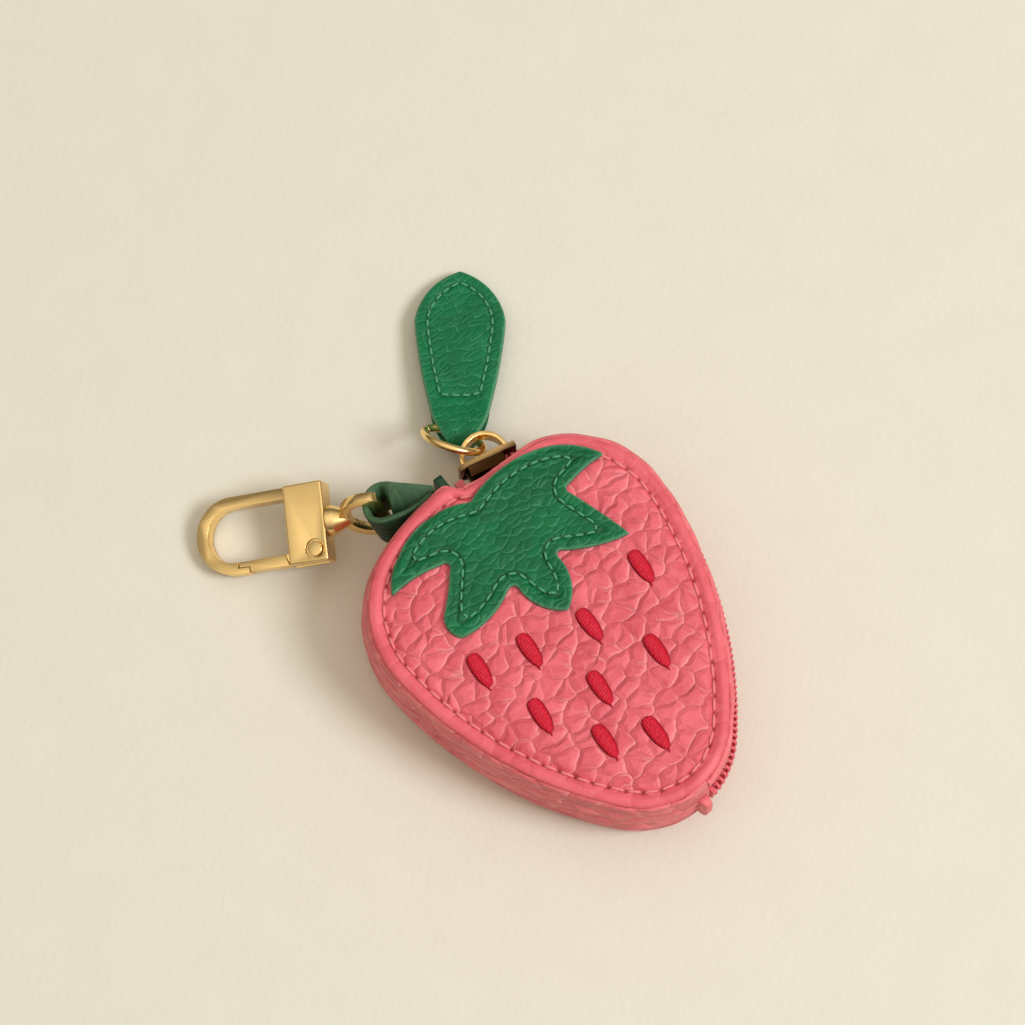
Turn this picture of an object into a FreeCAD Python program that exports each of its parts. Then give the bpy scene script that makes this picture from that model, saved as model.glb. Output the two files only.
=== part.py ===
import FreeCAD, Part
import math
import os

import Sketcher

V = FreeCAD.Vector

# Driving dimensions in millimetres and degrees.
SIZES = {
    # pouch outline: top, shoulder, flank and tip arcs that meet tangentially
    "top_radius": 53.2,
    "shoulder_radius": 21.2,
    "flank_radius": 78.6,
    "tip_radius": 16.8,
    "shoulder_x": 10.7,
    "shoulder_y": 14.9,
    "tip_y": -21.2,
    # pouch layers
    "pouch_depth": 22.0,
    "panel_skin": 1.4,
    "stiffener": 1.0,
    "lining": 0.4,
    "wall_out": 0.6,
    "wall_in": -0.8,
    "stiffener_gap": 0.2,
    "lining_gap": 0.6,
    "gusset_lining": 0.4,
    "gusset_hem": 1.5,
    "rim_round": 0.7,
    "stitch_inset": 2.9,
    "thread": 0.5,
    "thread_rise": 0.35,
    "thread_gap": 0.02,
    # zip
    "strip_width": 5.0,
    "strip_out": 0.9,
    "strip_in": -0.3,
    "tape_in": -0.9,
    "tape_slot": 2.2,
    "tape_width": 6.5,
    "coil_out": 2.0,
    "coil_width": 2.2,
    "zip_start": -80.0,
    "zip_end": 89.0,
    "slider_angle": 80.0,
    "slider_length": 12.4,
    "slider_width": 8.0,
    "slider_plate": 1.2,
    "slider_flange": 0.85,
    "slider_neck": 1.6,
    "slider_under": 10.4,
    "stop_height": 1.4,
    "end_tab_width": 8.4,
    "end_tab_reach": 3.0,
    "crown_width": 3.6,
    "crown_span": 10.0,
    "crown_rise": 5.3,
    "crown_bar": 0.9,
    # leaf and seeds
    "leaf_skin": 1.2,
    "leaf_inset": 2.7,
    "seed_length": 7.2,
    "seed_width": 3.3,
    "seed_rise": 0.7,
    # strap
    "strap_width": 8.6,
    "strap_skin": 1.2,
    "strap_gap": 1.2,
    "strap_low": 3.4,
    "strap_high": 5.2,
    "root_depth": -3.5,
    "root_height": 0.4,
    "end_height": 1.5,
    # jump ring and pull tab
    "ring_radius": 6.05,
    "ring_wire": 1.6,
    "tab_length": 36.1,
    "tab_neck": 2.3,
    "tab_inset": 2.6,
    "tab_skin": 1.2,
    "tab_core": 0.5,
    # snap hook
    "hook_x": -22.3,
    "hook_y": 49.0,
    "hook_z": 10.2,
    "hook_heading": 147.5,
    "hook_slope": 17.8,
    "hook_roll": 6.7,
    "eye_roll": 22.0,
    "block_length": 8.2,
    "block_width": 16.0,
    "block_depth": 5.0,
    "bow_width": 15.6,
    "bow_bar": 2.3,
    "bow_reach": 27.4,
    "bow_depth": 3.4,
    "rivet_x": 2.6,
    "rivet_y": 5.4,
    "rivet_radius": 0.8,
    "rivet_head": 1.5,
    "rivet_head_rise": 0.2,
    "rivet_head_depth": 0.35,
    "rivet_foot": 1.3,
    "rivet_foot_rise": 0.25,
    "rivet_groove": 1.95,
    "rivet_groove_depth": 0.6,
    "block_round": 0.45,
    "seat_radius": 2.1,
    "seat_depth": 2.0,
    "stud_radius": 1.25,
    "gate_depth": 3.2,
    "tongue_depth": 1.9,
    "slot_depth": 2.2,
    "spring_width": 1.4,
    "eye_bar": 1.9,
}

# Where the side pieces start and end: angles on the top arc or the tip arc, in degrees.
SEAMS = {
    "gusset": 95.1,
    "strap_root": (92.45, 95.0),
    "seam_patch": (91.7, 92.4),
    "strap_end": (90.35, 91.65),
    "zip_head_patch": (89.05, 90.3),
    "zip_top_stop": (86.7, 88.6),
    "zip_bottom_stop": (-78.0, -75.2),
    "zip_end_tab": (-89.0, -81.5),
}
TIP_ARC, TOP_ARC = 0, 3

# Seeds: place of the middle on the front face, and the lean of the long axis.
SEEDS = [
    (18.5, 2.2, 3.0),
    (3.6, -1.0, 1.0),
    (-8.5, 1.9, 4.0),
    (-18.4, 4.4, 5.0),
    (10.7, -12.7, 2.0),
    (-2.3, -11.9, 4.0),
    (-14.5, -9.5, 6.0),
    (-7.8, -20.7, 3.0),
    (0.8, -25.2, 0.0),
]

# Leaf outline: arcs, each given by a point that it passes and the point where it ends.
LEAF_START = (0.0, 32.1)
LEAF_ARCS = [
    ((-9.9, 34.4), (-17.5, 31.8)),
    ((-20.9, 29.4), (-23.1, 26.1)),
    ((-17.0, 26.3), (-11.9, 25.3)),
    ((-10.9, 24.9), (-11.3, 23.6)),
    ((-14.2, 20.2), (-17.7, 16.9)),
    ((-18.6, 14.0), (-17.5, 11.4)),
    ((-10.3, 11.5), (-4.8, 13.7)),
    ((-3.5, 13.8), (-3.0, 12.6)),
    ((-2.0, 7.9), (1.9, 3.7)),
    ((5.8, 7.6), (6.8, 13.2)),
    ((7.3, 14.1), (8.4, 13.7)),
    ((13.6, 10.8), (20.6, 8.7)),
    ((18.6, 15.6), (16.4, 22.0)),
    ((16.4, 23.3), (17.5, 23.7)),
    ((21.8, 24.4), (26.6, 24.6)),
    ((21.9, 30.4), (17.5, 32.8)),
    ((8.8, 34.2), (0.0, 32.1)),
]

doc = FreeCAD.newDocument("strawberry_charm")
sheet = doc.addObject("Spreadsheet::Sheet", "Size")
for row, (alias, value) in enumerate(SIZES.items(), start=1):
    sheet.set(f"A{row}", alias)
    sheet.set(f"B{row}", str(value))
    sheet.setAlias(f"B{row}", alias)
doc.recompute()

nodes = []


def num(text):
    """The number that an expression over the sheet's names gives."""
    value = sheet.evalExpression(text)
    return float(getattr(value, "Value", value))


def new_body(label, place=None):
    body = doc.addObject("PartDesign::Body", label)
    body.Label = label
    if place:
        body.Placement = place
    nodes.append(body)
    return body


def new_sketch(body, role="XY_Plane", lift="0"):
    """A sketch on one of the body's own origin planes, raised along the plane's normal."""
    sketch = body.newObject("Sketcher::SketchObject", "Sketch")
    plane = next(f for f in body.Origin.OriginFeatures if f.Role == role)
    sketch.AttachmentSupport = [(plane, "")]
    sketch.MapMode = "FlatFace"
    sketch.setExpression("AttachmentOffset.Base.z", lift)
    return sketch


def pad(body, sketch, length):
    feature = body.newObject("PartDesign::Pad", "Pad")
    feature.Profile = sketch
    feature.setExpression("Length", length)
    sketch.Visibility = False
    doc.recompute()
    return feature


def pocket(body, sketch, length, reverse=False):
    """A cut below the sketch, or above it when reversed."""
    before = body.Shape.Volume
    feature = body.newObject("PartDesign::Pocket", "Pocket")
    feature.Profile = sketch
    feature.Reversed = reverse
    feature.setExpression("Length", length)
    doc.recompute()
    if not body.Shape.Volume < before - 1e-6:
        raise RuntimeError(f"a pocket in {body.Label} cuts nothing")
    return feature


def fillet(body, radius, wanted):
    """Rounds the edges of the body's tip that the test picks out."""
    base = body.Tip
    names = [f"Edge{i + 1}" for i, edge in enumerate(base.Shape.Edges) if wanted(edge)]
    feature = body.newObject("PartDesign::Fillet", "Fillet")
    feature.Base = (base, names)
    feature.Radius = radius
    doc.recompute()
    return feature


def chain(sketch, pieces, radii=None):
    """A closed run of lines and arcs, each joined to the next, with the arcs' radii bound to the sheet."""
    first = sketch.GeometryCount
    sketch.addGeometry(pieces, False)
    count = len(pieces)
    ends = [[sketch.getPoint(first + i, end) for end in (1, 2)] for i in range(count)]
    for i in range(count):
        here, after = ends[i], ends[(i + 1) % count]
        a, b = min(
            ((p, q) for p in (0, 1) for q in (0, 1)),
            key=lambda pair: here[pair[0]].distanceToPoint(after[pair[1]]),
        )
        sketch.addConstraint(Sketcher.Constraint("Coincident", first + i, a + 1, first + (i + 1) % count, b + 1))
    for i, text in enumerate(radii or []):
        if text:
            index = sketch.addConstraint(Sketcher.Constraint("Radius", first + i, num(text)))
            sketch.setExpression(f"Constraints[{index}]", text)


def polygon(sketch, corners):
    """A closed polygon whose corners are pairs of expressions over the sheet."""
    first = sketch.GeometryCount
    points = [V(num(x), num(y), 0) for x, y in corners]
    count = len(points)
    lines = [Part.LineSegment(points[i], points[(i + 1) % count]) for i in range(count)]
    sketch.addGeometry(lines, False)
    for i in range(count):
        sketch.addConstraint(Sketcher.Constraint("Coincident", first + i, 2, first + (i + 1) % count, 1))
    for i, (x, y) in enumerate(corners):
        for kind, axis, text in (("DistanceX", -2, x), ("DistanceY", -1, y)):
            if abs(num(text)) < 1e-9:
                sketch.addConstraint(Sketcher.Constraint("PointOnObject", first + i, 1, axis))
                continue
            link = Sketcher.Constraint(kind, -1, 1, first + i, 1, num(text))
            index = sketch.addConstraint(link)
            sketch.setExpression(f"Constraints[{index}]", text)


def rectangle(sketch, x0, x1, y0, y1):
    polygon(sketch, [(x0, y0), (x1, y0), (x1, y1), (x0, y1)])


def circle(sketch, x, y, radius):
    index = sketch.addGeometry(Part.Circle(V(num(x), num(y), 0), V(0, 0, 1), num(radius)), False)
    for kind, axis, text in (("DistanceX", -2, x), ("DistanceY", -1, y)):
        if abs(num(text)) < 1e-9:
            sketch.addConstraint(Sketcher.Constraint("PointOnObject", index, 3, axis))
            continue
        link = sketch.addConstraint(Sketcher.Constraint(kind, -1, 1, index, 3, num(text)))
        sketch.setExpression(f"Constraints[{link}]", text)
    bound = sketch.addConstraint(Sketcher.Constraint("Radius", index, num(radius)))
    sketch.setExpression(f"Constraints[{bound}]", radius)


def arc_by_angles(centre, radius, start, end):
    base = Part.Circle(V(centre[0], centre[1], 0), V(0, 0, 1), radius)
    return Part.ArcOfCircle(base, math.radians(start), math.radians(end))


def three_point_arcs(start, steps):
    """Arcs from a start point, each through one point to the next."""
    pieces = []
    here = V(start[0], start[1], 0)
    for through, end in steps:
        there = V(end[0], end[1], 0)
        pieces.append(Part.Arc(here, V(through[0], through[1], 0), there))
        here = there
    return pieces


# ---- the pouch outline ----


def outline_arcs():
    """The outline's arcs as (centre, radius's name, start angle, end angle), anticlockwise from the tip."""
    rt, rs = SIZES["top_radius"], SIZES["shoulder_radius"]
    rf, rp = SIZES["flank_radius"], SIZES["tip_radius"]
    sx, sy, ty = SIZES["shoulder_x"], SIZES["shoulder_y"], SIZES["tip_y"]
    top = (0.0, sy - math.sqrt((rt - rs) ** 2 - sx**2))
    # the flank's centre is where circles about the shoulder's and the tip's centres cross
    reach, near, far = math.hypot(sx, sy - ty), rf - rs, rf - rp
    along = (reach**2 + near**2 - far**2) / (2 * reach)
    aside = math.sqrt(near**2 - along**2)
    ux, uy = -sx / reach, (ty - sy) / reach
    flank = (sx + ux * along + uy * aside, sy + uy * along - ux * aside)

    def angle(a, b):
        return math.degrees(math.atan2(b[1] - a[1], b[0] - a[0]))

    tip_turn = angle(flank, (0.0, ty))
    shoulder_turn = angle(flank, (sx, sy))
    top_turn = angle(top, (sx, sy))
    return [
        ((0.0, ty), "tip_radius", -180.0 - tip_turn, tip_turn),
        (flank, "flank_radius", tip_turn, shoulder_turn),
        ((sx, sy), "shoulder_radius", shoulder_turn, top_turn),
        (top, "top_radius", top_turn, 180.0 - top_turn),
        ((-sx, sy), "shoulder_radius", 180.0 - top_turn, 180.0 - shoulder_turn),
        ((-flank[0], flank[1]), "flank_radius", 180.0 - shoulder_turn, 180.0 - tip_turn),
    ]


def closed_outline(sketch, offset):
    """The whole outline, moved outwards by an offset."""
    pieces = []
    radii = []
    for centre, name, start, end in outline_arcs():
        radii.append(f"Size.{name} + ({offset})")
        pieces.append(arc_by_angles(centre, num(radii[-1]), start, end))
    chain(sketch, pieces, radii)


def stretch(first, start, last, end):
    """The arcs from a start angle on one arc to an end angle on another, anticlockwise."""
    arcs = outline_arcs() * 2
    picked = [list(arcs[i % 6]) for i in range(first, last + 1)]
    picked[0][2] = start
    picked[-1][3] = end
    return picked


def piece_of(index, seam):
    """The stretch of one arc that a side piece covers."""
    start, end = SEAMS[seam]
    return stretch(index, start, index, end)


def band(label, arcs, inner, outer, low, high):
    """A wall that follows part of the outline between two offsets and two heights."""
    body = new_body(label)
    body.setExpression("Placement.Base.z", low)
    sketch = new_sketch(body)
    outs = [f"Size.{name} + ({outer})" for _, name, _, _ in arcs]
    ins = [f"Size.{name} + ({inner})" for _, name, _, _ in arcs]
    run_out = [arc_by_angles(c, num(r), s, e) for (c, _, s, e), r in zip(arcs, outs)]
    run_in = [arc_by_angles(c, num(r), s, e) for (c, _, s, e), r in zip(arcs, ins)]
    close_end = Part.LineSegment(run_out[-1].EndPoint, run_in[-1].EndPoint)
    close_start = Part.LineSegment(run_in[0].StartPoint, run_out[0].StartPoint)
    pieces = run_out + [close_end] + run_in[::-1] + [close_start]
    chain(sketch, pieces, outs + [None] + ins[::-1] + [None])
    pad(body, sketch, f"({high}) - ({low})")
    return body


ZIP_ARCS = stretch(0, SIZES["zip_start"], 3, SIZES["zip_end"])
COIL_ARCS = stretch(0, SIZES["zip_start"] + 5.0, 3, SIZES["slider_angle"])
MIDDLE = "Size.pouch_depth / 2"


def panel(label, offset, low, thickness):
    body = new_body(label)
    body.setExpression("Placement.Base.z", low)
    sketch = new_sketch(body)
    closed_outline(sketch, offset)
    pad(body, sketch, thickness)
    return body


def thread_ring(label, low):
    """A line of stitching just inside the rim."""
    body = new_body(label)
    body.setExpression("Placement.Base.z", low)
    sketch = new_sketch(body)
    closed_outline(sketch, "-Size.stitch_inset + Size.thread / 2")
    closed_outline(sketch, "-Size.stitch_inset - Size.thread / 2")
    pad(body, sketch, "Size.thread_rise")


def make_panels():
    """Both faces of the pouch: leather skin, stiffener and lining, from the back to the front."""
    depth, skin, stiff, cloth = "Size.pouch_depth", "Size.panel_skin", "Size.stiffener", "Size.lining"
    back = panel("back_panel", "0", "0", skin)
    groove = new_sketch(back)
    closed_outline(groove, "-Size.stitch_inset + Size.thread / 2 + Size.thread_gap")
    closed_outline(groove, "-Size.stitch_inset - Size.thread / 2 - Size.thread_gap")
    pocket(back, groove, "Size.thread_gap + Size.thread_rise + 0.03", reverse=True)
    board_in, cloth_in = "Size.wall_in - Size.stiffener_gap", "Size.wall_in - Size.lining_gap"
    panel("back_stiffener", board_in, skin, stiff)
    panel("back_lining", cloth_in, f"{skin} + {stiff}", cloth)
    panel("front_lining", cloth_in, f"{depth} - {skin} - {stiff} - {cloth}", cloth)
    panel("front_stiffener", board_in, f"{depth} - {skin} - {stiff}", stiff)
    front = panel("front_panel", "0", f"{depth} - {skin}", skin)
    top = num(skin)
    fillet(front, SIZES["rim_round"], lambda edge: abs(edge.BoundBox.ZMin - top) < 1e-6)
    thread_ring("back_stitching", "Size.thread_gap")
    thread_ring("front_stitching", depth)


def make_walls():
    """The plain gusset with its lining, and the leather strips that carry the zip."""
    low, high = "Size.panel_skin", "Size.pouch_depth - Size.panel_skin"
    inner, outer = "Size.wall_in", "Size.wall_out"
    gusset = stretch(TOP_ARC, SEAMS["gusset"], 6, SIZES["zip_start"] - 0.05)
    band("gusset", gusset, inner, outer, low, high)
    cloth_out = f"{inner} - 0.05"
    cloth_in = f"{cloth_out} - Size.gusset_lining"
    band("gusset_lining", gusset, cloth_in, cloth_out, f"{low} + Size.gusset_hem", f"{high} - Size.gusset_hem")
    for label in ("seam_patch", "zip_head_patch"):
        band(label, piece_of(TOP_ARC, label), inner, outer, low, high)
    band("zip_strip_back", ZIP_ARCS, "Size.strip_in", "Size.strip_out", low, f"{low} + Size.strip_width")
    band("zip_strip_front", ZIP_ARCS, "Size.strip_in", "Size.strip_out", f"{high} - Size.strip_width", high)


def make_zip():
    """Tapes, the two rows of coil that meet in the middle, and the stops."""
    slot = f"{MIDDLE} + Size.tape_slot / 2"
    rise = f"{MIDDLE} - Size.tape_slot / 2"
    band("zip_tape_front", ZIP_ARCS, "Size.tape_in", "Size.strip_in", slot, f"{slot} + Size.tape_width")
    band("zip_tape_back", ZIP_ARCS, "Size.tape_in", "Size.strip_in", f"{rise} - Size.tape_width", rise)
    near, far = f"{MIDDLE} + 0.02", f"{MIDDLE} + Size.coil_width"
    band("zip_teeth_front", COIL_ARCS, "Size.strip_in", "Size.coil_out", near, far)
    near, far = f"{MIDDLE} - Size.coil_width", f"{MIDDLE} - 0.02"
    band("zip_teeth_back", COIL_ARCS, "Size.strip_in", "Size.coil_out", near, far)
    stop, top = piece_of(TOP_ARC, "zip_top_stop"), "Size.strip_in + 1.8"
    band("zip_top_stop_front", stop, "Size.strip_in", top, f"{slot} + 0.1", f"{slot} + 0.1 + Size.stop_height")
    band("zip_top_stop_back", stop, "Size.strip_in", top, f"{rise} - 0.1 - Size.stop_height", f"{rise} - 0.1")
    stop, reach = piece_of(TIP_ARC, "zip_bottom_stop"), "(Size.coil_width + 0.4)"
    band("zip_bottom_stop", stop, "Size.strip_in", "Size.coil_out", f"{MIDDLE} - {reach}", f"{MIDDLE} + {reach}")
    tab, half = piece_of(TIP_ARC, "zip_end_tab"), "Size.end_tab_width / 2"
    far = "Size.wall_out + Size.end_tab_reach"
    band("zip_end_tab", tab, "Size.wall_out", far, f"{MIDDLE} - {half}", f"{MIDDLE} + {half}")


# ---- leaf and seeds ----


def make_leaf():
    body = new_body("leaf")
    body.setExpression("Placement.Base.z", "Size.pouch_depth")
    sketch = new_sketch(body)
    chain(sketch, three_point_arcs(LEAF_START, LEAF_ARCS))
    pad(body, sketch, "Size.leaf_skin")
    over_stitches = new_sketch(body)
    closed_outline(over_stitches, "-Size.stitch_inset + Size.thread / 2 + 0.05")
    closed_outline(over_stitches, "-Size.stitch_inset - Size.thread / 2 - 0.05")
    pocket(body, over_stitches, "Size.thread_rise + 0.05", reverse=True)


def inset_thread(label, pieces, inset, low, place=None):
    """A closed line of thread inside an outline, as a thin raised band."""
    wire = Part.Wire([piece.toShape() for piece in pieces])
    face = Part.Face(wire)
    outer = face.makeOffset2D(-inset + num("Size.thread / 2"), join=0)
    inner = face.makeOffset2D(-inset - num("Size.thread / 2"), join=0)
    solid = outer.cut(inner).extrude(V(0, 0, num("Size.thread_rise")))
    feature = doc.addObject("Part::Feature", label)
    feature.Label = label
    feature.Shape = max(solid.Solids, key=lambda part: part.Volume)
    feature.Placement = (place or FreeCAD.Placement()).multiply(FreeCAD.Placement(V(0, 0, low), FreeCAD.Rotation()))
    nodes.append(feature)


def make_seeds():
    """Nine satin-stitched seeds: blunt at the top, pointed at the lower end."""
    half, reach = num("Size.seed_width / 2"), num("Size.seed_length / 2")
    for i, (x, y, lean) in enumerate(SEEDS, start=1):
        body = new_body(f"seed_{i}")
        turn = FreeCAD.Rotation(V(0, 0, 1), -lean)
        body.Placement = FreeCAD.Placement(V(x, y, num("Size.pouch_depth")), turn)
        body.setExpression("Placement.Base.z", "Size.pouch_depth")
        sketch = new_sketch(body)
        side = V(half, reach - half, 0)
        tip = V(0, -reach, 0)
        pieces = [
            arc_by_angles((0, reach - half), half, 0, 180),
            Part.Arc(V(-side.x, side.y, 0), V(-0.86 * half, -0.25 * reach, 0), tip),
            Part.Arc(tip, V(0.86 * half, -0.25 * reach, 0), side),
        ]
        chain(sketch, pieces, ["Size.seed_width / 2", None, None])
        pad(body, sketch, "Size.seed_rise")


# ---- slider, ring and pull tab ----


def frame_from(origin, x_axis, z_axis):
    """A placement whose X and Z axes point along two perpendicular directions."""
    x = V(*x_axis).normalize()
    z = V(*z_axis).normalize()
    y = z.cross(x)
    matrix = FreeCAD.Matrix(
        x.x, y.x, z.x, origin[0], x.y, y.y, z.y, origin[1], x.z, y.z, z.z, origin[2], 0, 0, 0, 1
    )
    return FreeCAD.Placement(matrix)


def slider_frame():
    """Origin on the outline at mid-depth, X along the zip towards its closed end, Z outwards."""
    centre, name, _, _ = outline_arcs()[3]
    turn = math.radians(SIZES["slider_angle"])
    out = (math.cos(turn), math.sin(turn), 0.0)
    reach = SIZES[name]
    origin = (centre[0] + reach * out[0], centre[1] + reach * out[1], num(MIDDLE))
    return frame_from(origin, (out[1], -out[0], 0.0), out)


def make_slider():
    """Two plates joined by a neck in front of the teeth, with side flanges, and an arched crown."""
    place = slider_frame()
    body = new_body("slider_body", place)
    half, width = "Size.slider_length / 2", "Size.slider_width / 2"
    top = "Size.coil_out + 0.3"
    plate = new_sketch(body, lift=top)
    nose = [(f"-{half}", f"-{width} * 0.7"), (f"-{half} + 1.6", f"-{width}"), (f"{half} - 3", f"-{width}")]
    tail = [(half, f"-{width} * 0.78"), (half, f"{width} * 0.78"), (f"{half} - 3", width)]
    close = [(f"-{half} + 1.6", width), (f"-{half}", f"{width} * 0.7")]
    polygon(plate, nose + tail + close)
    pad(body, plate, "Size.slider_plate")
    for side in ("-", ""):
        rib = new_sketch(body, lift="0.25")
        edges = sorted([f"{side}({width} - 0.1 - Size.slider_flange)", f"{side}({width} - 0.1)"], key=num)
        rectangle(rib, f"-{half} + 1.7", f"{half} - 3.1", edges[0], edges[1])
        pad(body, rib, f"{top} - 0.25")
    neck = new_sketch(body, lift="-1.7")
    rectangle(neck, f"-{half} + 1.4", f"-{half} + 3.6", "-Size.slider_neck / 2", "Size.slider_neck / 2")
    pad(body, neck, f"{top} + 1.7")
    under = new_sketch(body, lift="-2.6")
    rectangle(under, "-Size.slider_under / 2", "Size.slider_under / 2", f"-{width} + 0.4", f"{width} - 0.4")
    pad(body, under, "1.0")

    crown = new_body("slider_crown", place)
    base = num(f"{top} + Size.slider_plate")
    arch = new_sketch(crown, "XZ_Plane", "-Size.crown_width / 2")
    foot, rise, bar = SIZES["crown_span"] / 2, SIZES["crown_rise"], SIZES["crown_bar"]
    heel = foot - bar
    outer = Part.Arc(V(-foot, base, 0), V(0, base + rise, 0), V(foot, base, 0))
    inner = Part.Arc(V(heel, base, 0), V(0, base + rise - bar, 0), V(-heel, base, 0))
    feet = [Part.LineSegment(V(side * a, base, 0), V(side * b, base, 0))
            for side, a, b in ((1, foot, heel), (-1, heel, foot))]
    chain(arch, [outer, feet[0], inner, feet[1]])
    pad(crown, arch, "Size.crown_width")


RING_HEADING = 123.5
RING_LEAN = 33.0


def ring_axes():
    """Unit vectors from the crown to the ring's middle, and up along the wire in the crown."""
    turn, lean = math.radians(RING_HEADING), math.radians(RING_LEAN)
    away = V(math.cos(turn), math.sin(turn), 0)
    across = V(math.sin(turn), -math.cos(turn), 0)
    upward = V(0, 0, math.cos(lean)) - across * math.sin(lean)
    return away, upward


def ring_centre():
    hold = slider_frame().multVec(V(0.3, 0, num("Size.coil_out") + 3.4))
    away, _ = ring_axes()
    return hold + away * SIZES["ring_radius"]


def make_ring():
    away, upward = ring_axes()
    ring = doc.addObject("Part::Torus", "pull_ring")
    ring.Label = "pull_ring"
    ring.setExpression("Radius1", "Size.ring_radius")
    ring.setExpression("Radius2", "Size.ring_wire / 2")
    ring.Angle3 = 357.0
    ring.Placement = frame_from(ring_centre(), away, away.cross(upward))
    nodes.append(ring)


TAB_HEADING = 53.3
TAB_DROP = 7.0
FOLD_RADIUS = 1.5
FOLD_REACH = 0.9


def tab_frame():
    """Origin on the lowest point of the ring's wire, X to the tab's tip, Z up."""
    away, upward = ring_axes()
    turn, drop = math.radians(TAB_HEADING), math.radians(TAB_DROP)
    along = V(math.cos(turn) * math.cos(drop), math.sin(turn) * math.cos(drop), -math.sin(drop))
    side = V(-math.sin(turn), math.cos(turn), 0)
    return frame_from(ring_centre() - upward * SIZES["ring_radius"], along, along.cross(side))


def tab_outline(inset=0.0):
    """The stem's outline from the narrow fold at the ring to the pointed end, shrunk by an inset."""
    length, wide = SIZES["tab_length"] - inset * 1.25, 9.25 - inset
    narrow, shoulder = SIZES["tab_neck"], 5.9 - inset
    start = -4.4 if inset == 0 else 5.2 + inset
    right = [V(start, -narrow, 0), V(1.2, -narrow, 0), V(2.9, -4.4, 0), V(5.2, -shoulder, 0)]
    if inset:
        right = [V(start, -shoulder + 0.4, 0)]
    bulge = V(15.0, -8.0 + inset, 0)
    widest = V(24.7, -wide, 0)
    cheek = V(31.9, -6.2 + inset * 0.9, 0)
    tip = V(length, 0, 0)

    def flip(point):
        return V(point.x, -point.y, 0)

    pieces = [Part.LineSegment(a, b) for a, b in zip(right, right[1:])]
    pieces += [Part.Arc(right[-1], bulge, widest), Part.Arc(widest, cheek, tip)]
    pieces += [Part.Arc(tip, flip(cheek), flip(widest)), Part.Arc(flip(widest), flip(bulge), flip(right[-1]))]
    left = [flip(point) for point in right[::-1]]
    pieces += [Part.LineSegment(a, b) for a, b in zip(left, left[1:])]
    pieces.append(Part.LineSegment(left[-1], right[0]))
    return pieces


def make_tab():
    """One strip of leather folded round the ring, cut to the stem's outline, with a core between the layers."""
    place = tab_frame()
    leather = new_body("pull_tab", place)
    skin, core, length = num("Size.tab_skin"), num("Size.tab_core / 2"), num("Size.tab_length") + 1.0
    outer, taper, reach = FOLD_RADIUS + skin, 6.5, FOLD_REACH
    profile = new_sketch(leather, "XZ_Plane", "-10")
    flat_out, flat_in = core + skin, core
    pieces = [
        Part.LineSegment(V(length, flat_in, 0), V(length, flat_out, 0)),
        Part.LineSegment(V(length, flat_out, 0), V(taper, flat_out, 0)),
        Part.LineSegment(V(taper, flat_out, 0), V(reach, outer, 0)),
        Part.LineSegment(V(reach, outer, 0), V(-reach, outer, 0)),
        Part.Arc(V(-reach, outer, 0), V(-reach - outer, 0, 0), V(-reach, -outer, 0)),
        Part.LineSegment(V(-reach, -outer, 0), V(reach, -outer, 0)),
        Part.LineSegment(V(reach, -outer, 0), V(taper, -flat_out, 0)),
        Part.LineSegment(V(taper, -flat_out, 0), V(length, -flat_out, 0)),
        Part.LineSegment(V(length, -flat_out, 0), V(length, -flat_in, 0)),
        Part.LineSegment(V(length, -flat_in, 0), V(taper - 1.5, -flat_in, 0)),
        Part.LineSegment(V(taper - 1.5, -flat_in, 0), V(reach, -FOLD_RADIUS, 0)),
        Part.LineSegment(V(reach, -FOLD_RADIUS, 0), V(-reach, -FOLD_RADIUS, 0)),
        Part.Arc(V(-reach, -FOLD_RADIUS, 0), V(-reach - FOLD_RADIUS, 0, 0), V(-reach, FOLD_RADIUS, 0)),
        Part.LineSegment(V(-reach, FOLD_RADIUS, 0), V(reach, FOLD_RADIUS, 0)),
        Part.LineSegment(V(reach, FOLD_RADIUS, 0), V(taper - 1.5, flat_in, 0)),
        Part.LineSegment(V(taper - 1.5, flat_in, 0), V(length, flat_in, 0)),
    ]
    chain(profile, pieces)
    pad(leather, profile, "20")
    trim = new_sketch(leather, lift="-5")
    rectangle(trim, "-8", "Size.tab_length + 4", "-14", "14")
    chain(trim, tab_outline())
    pocket(leather, trim, "10", reverse=True)

    filler = new_body("pull_tab_core", place)
    inside = new_sketch(filler, lift="-Size.tab_core / 2 + 0.02")
    chain(inside, tab_outline(0.8))
    pad(filler, inside, "Size.tab_core - 0.04")
    inset_thread("pull_tab_stitching", tab_outline(0.01), num("Size.tab_inset"), flat_out, place)


# ---- strap loop ----


def hook_frame():
    """Origin on the eye side of the hook's block, X to the bow's far end, Z out of the flat side."""
    turn, drop = math.radians(SIZES["hook_heading"]), math.radians(SIZES["hook_slope"])
    roll = FreeCAD.Rotation(V(1, 0, 0), SIZES["hook_roll"])
    along = V(math.cos(turn) * math.cos(drop), math.sin(turn) * math.cos(drop), -math.sin(drop))
    side = V(-math.sin(turn), math.cos(turn), 0)
    origin = (SIZES["hook_x"], SIZES["hook_y"], SIZES["hook_z"])
    flat = frame_from(origin, along, along.cross(side))
    return flat.multiply(FreeCAD.Placement(V(0, 0, 0), roll.inverted()))


def eye_frame():
    """The hook's frame rolled about its long axis, so that Z runs along the strap's width."""
    return hook_frame().multiply(FreeCAD.Placement(V(0, 0, 0), FreeCAD.Rotation(V(1, 0, 0), SIZES["eye_roll"])))


STRAP_START = (-22.2, -3.1)
STRAP_END = (-22.2, -1.1)
STRAP_ARCS = [
    ((-17.6, -3.7), (-14.4, -4.1)),
    ((-11.3, -4.2), (-9.3, -2.9)),
    ((-8.5, 0.0), (-9.1, 3.0)),
    ((-11.2, 4.9), (-13.8, 5.1)),
    ((-18.2, 2.9), STRAP_END),
]


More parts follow.
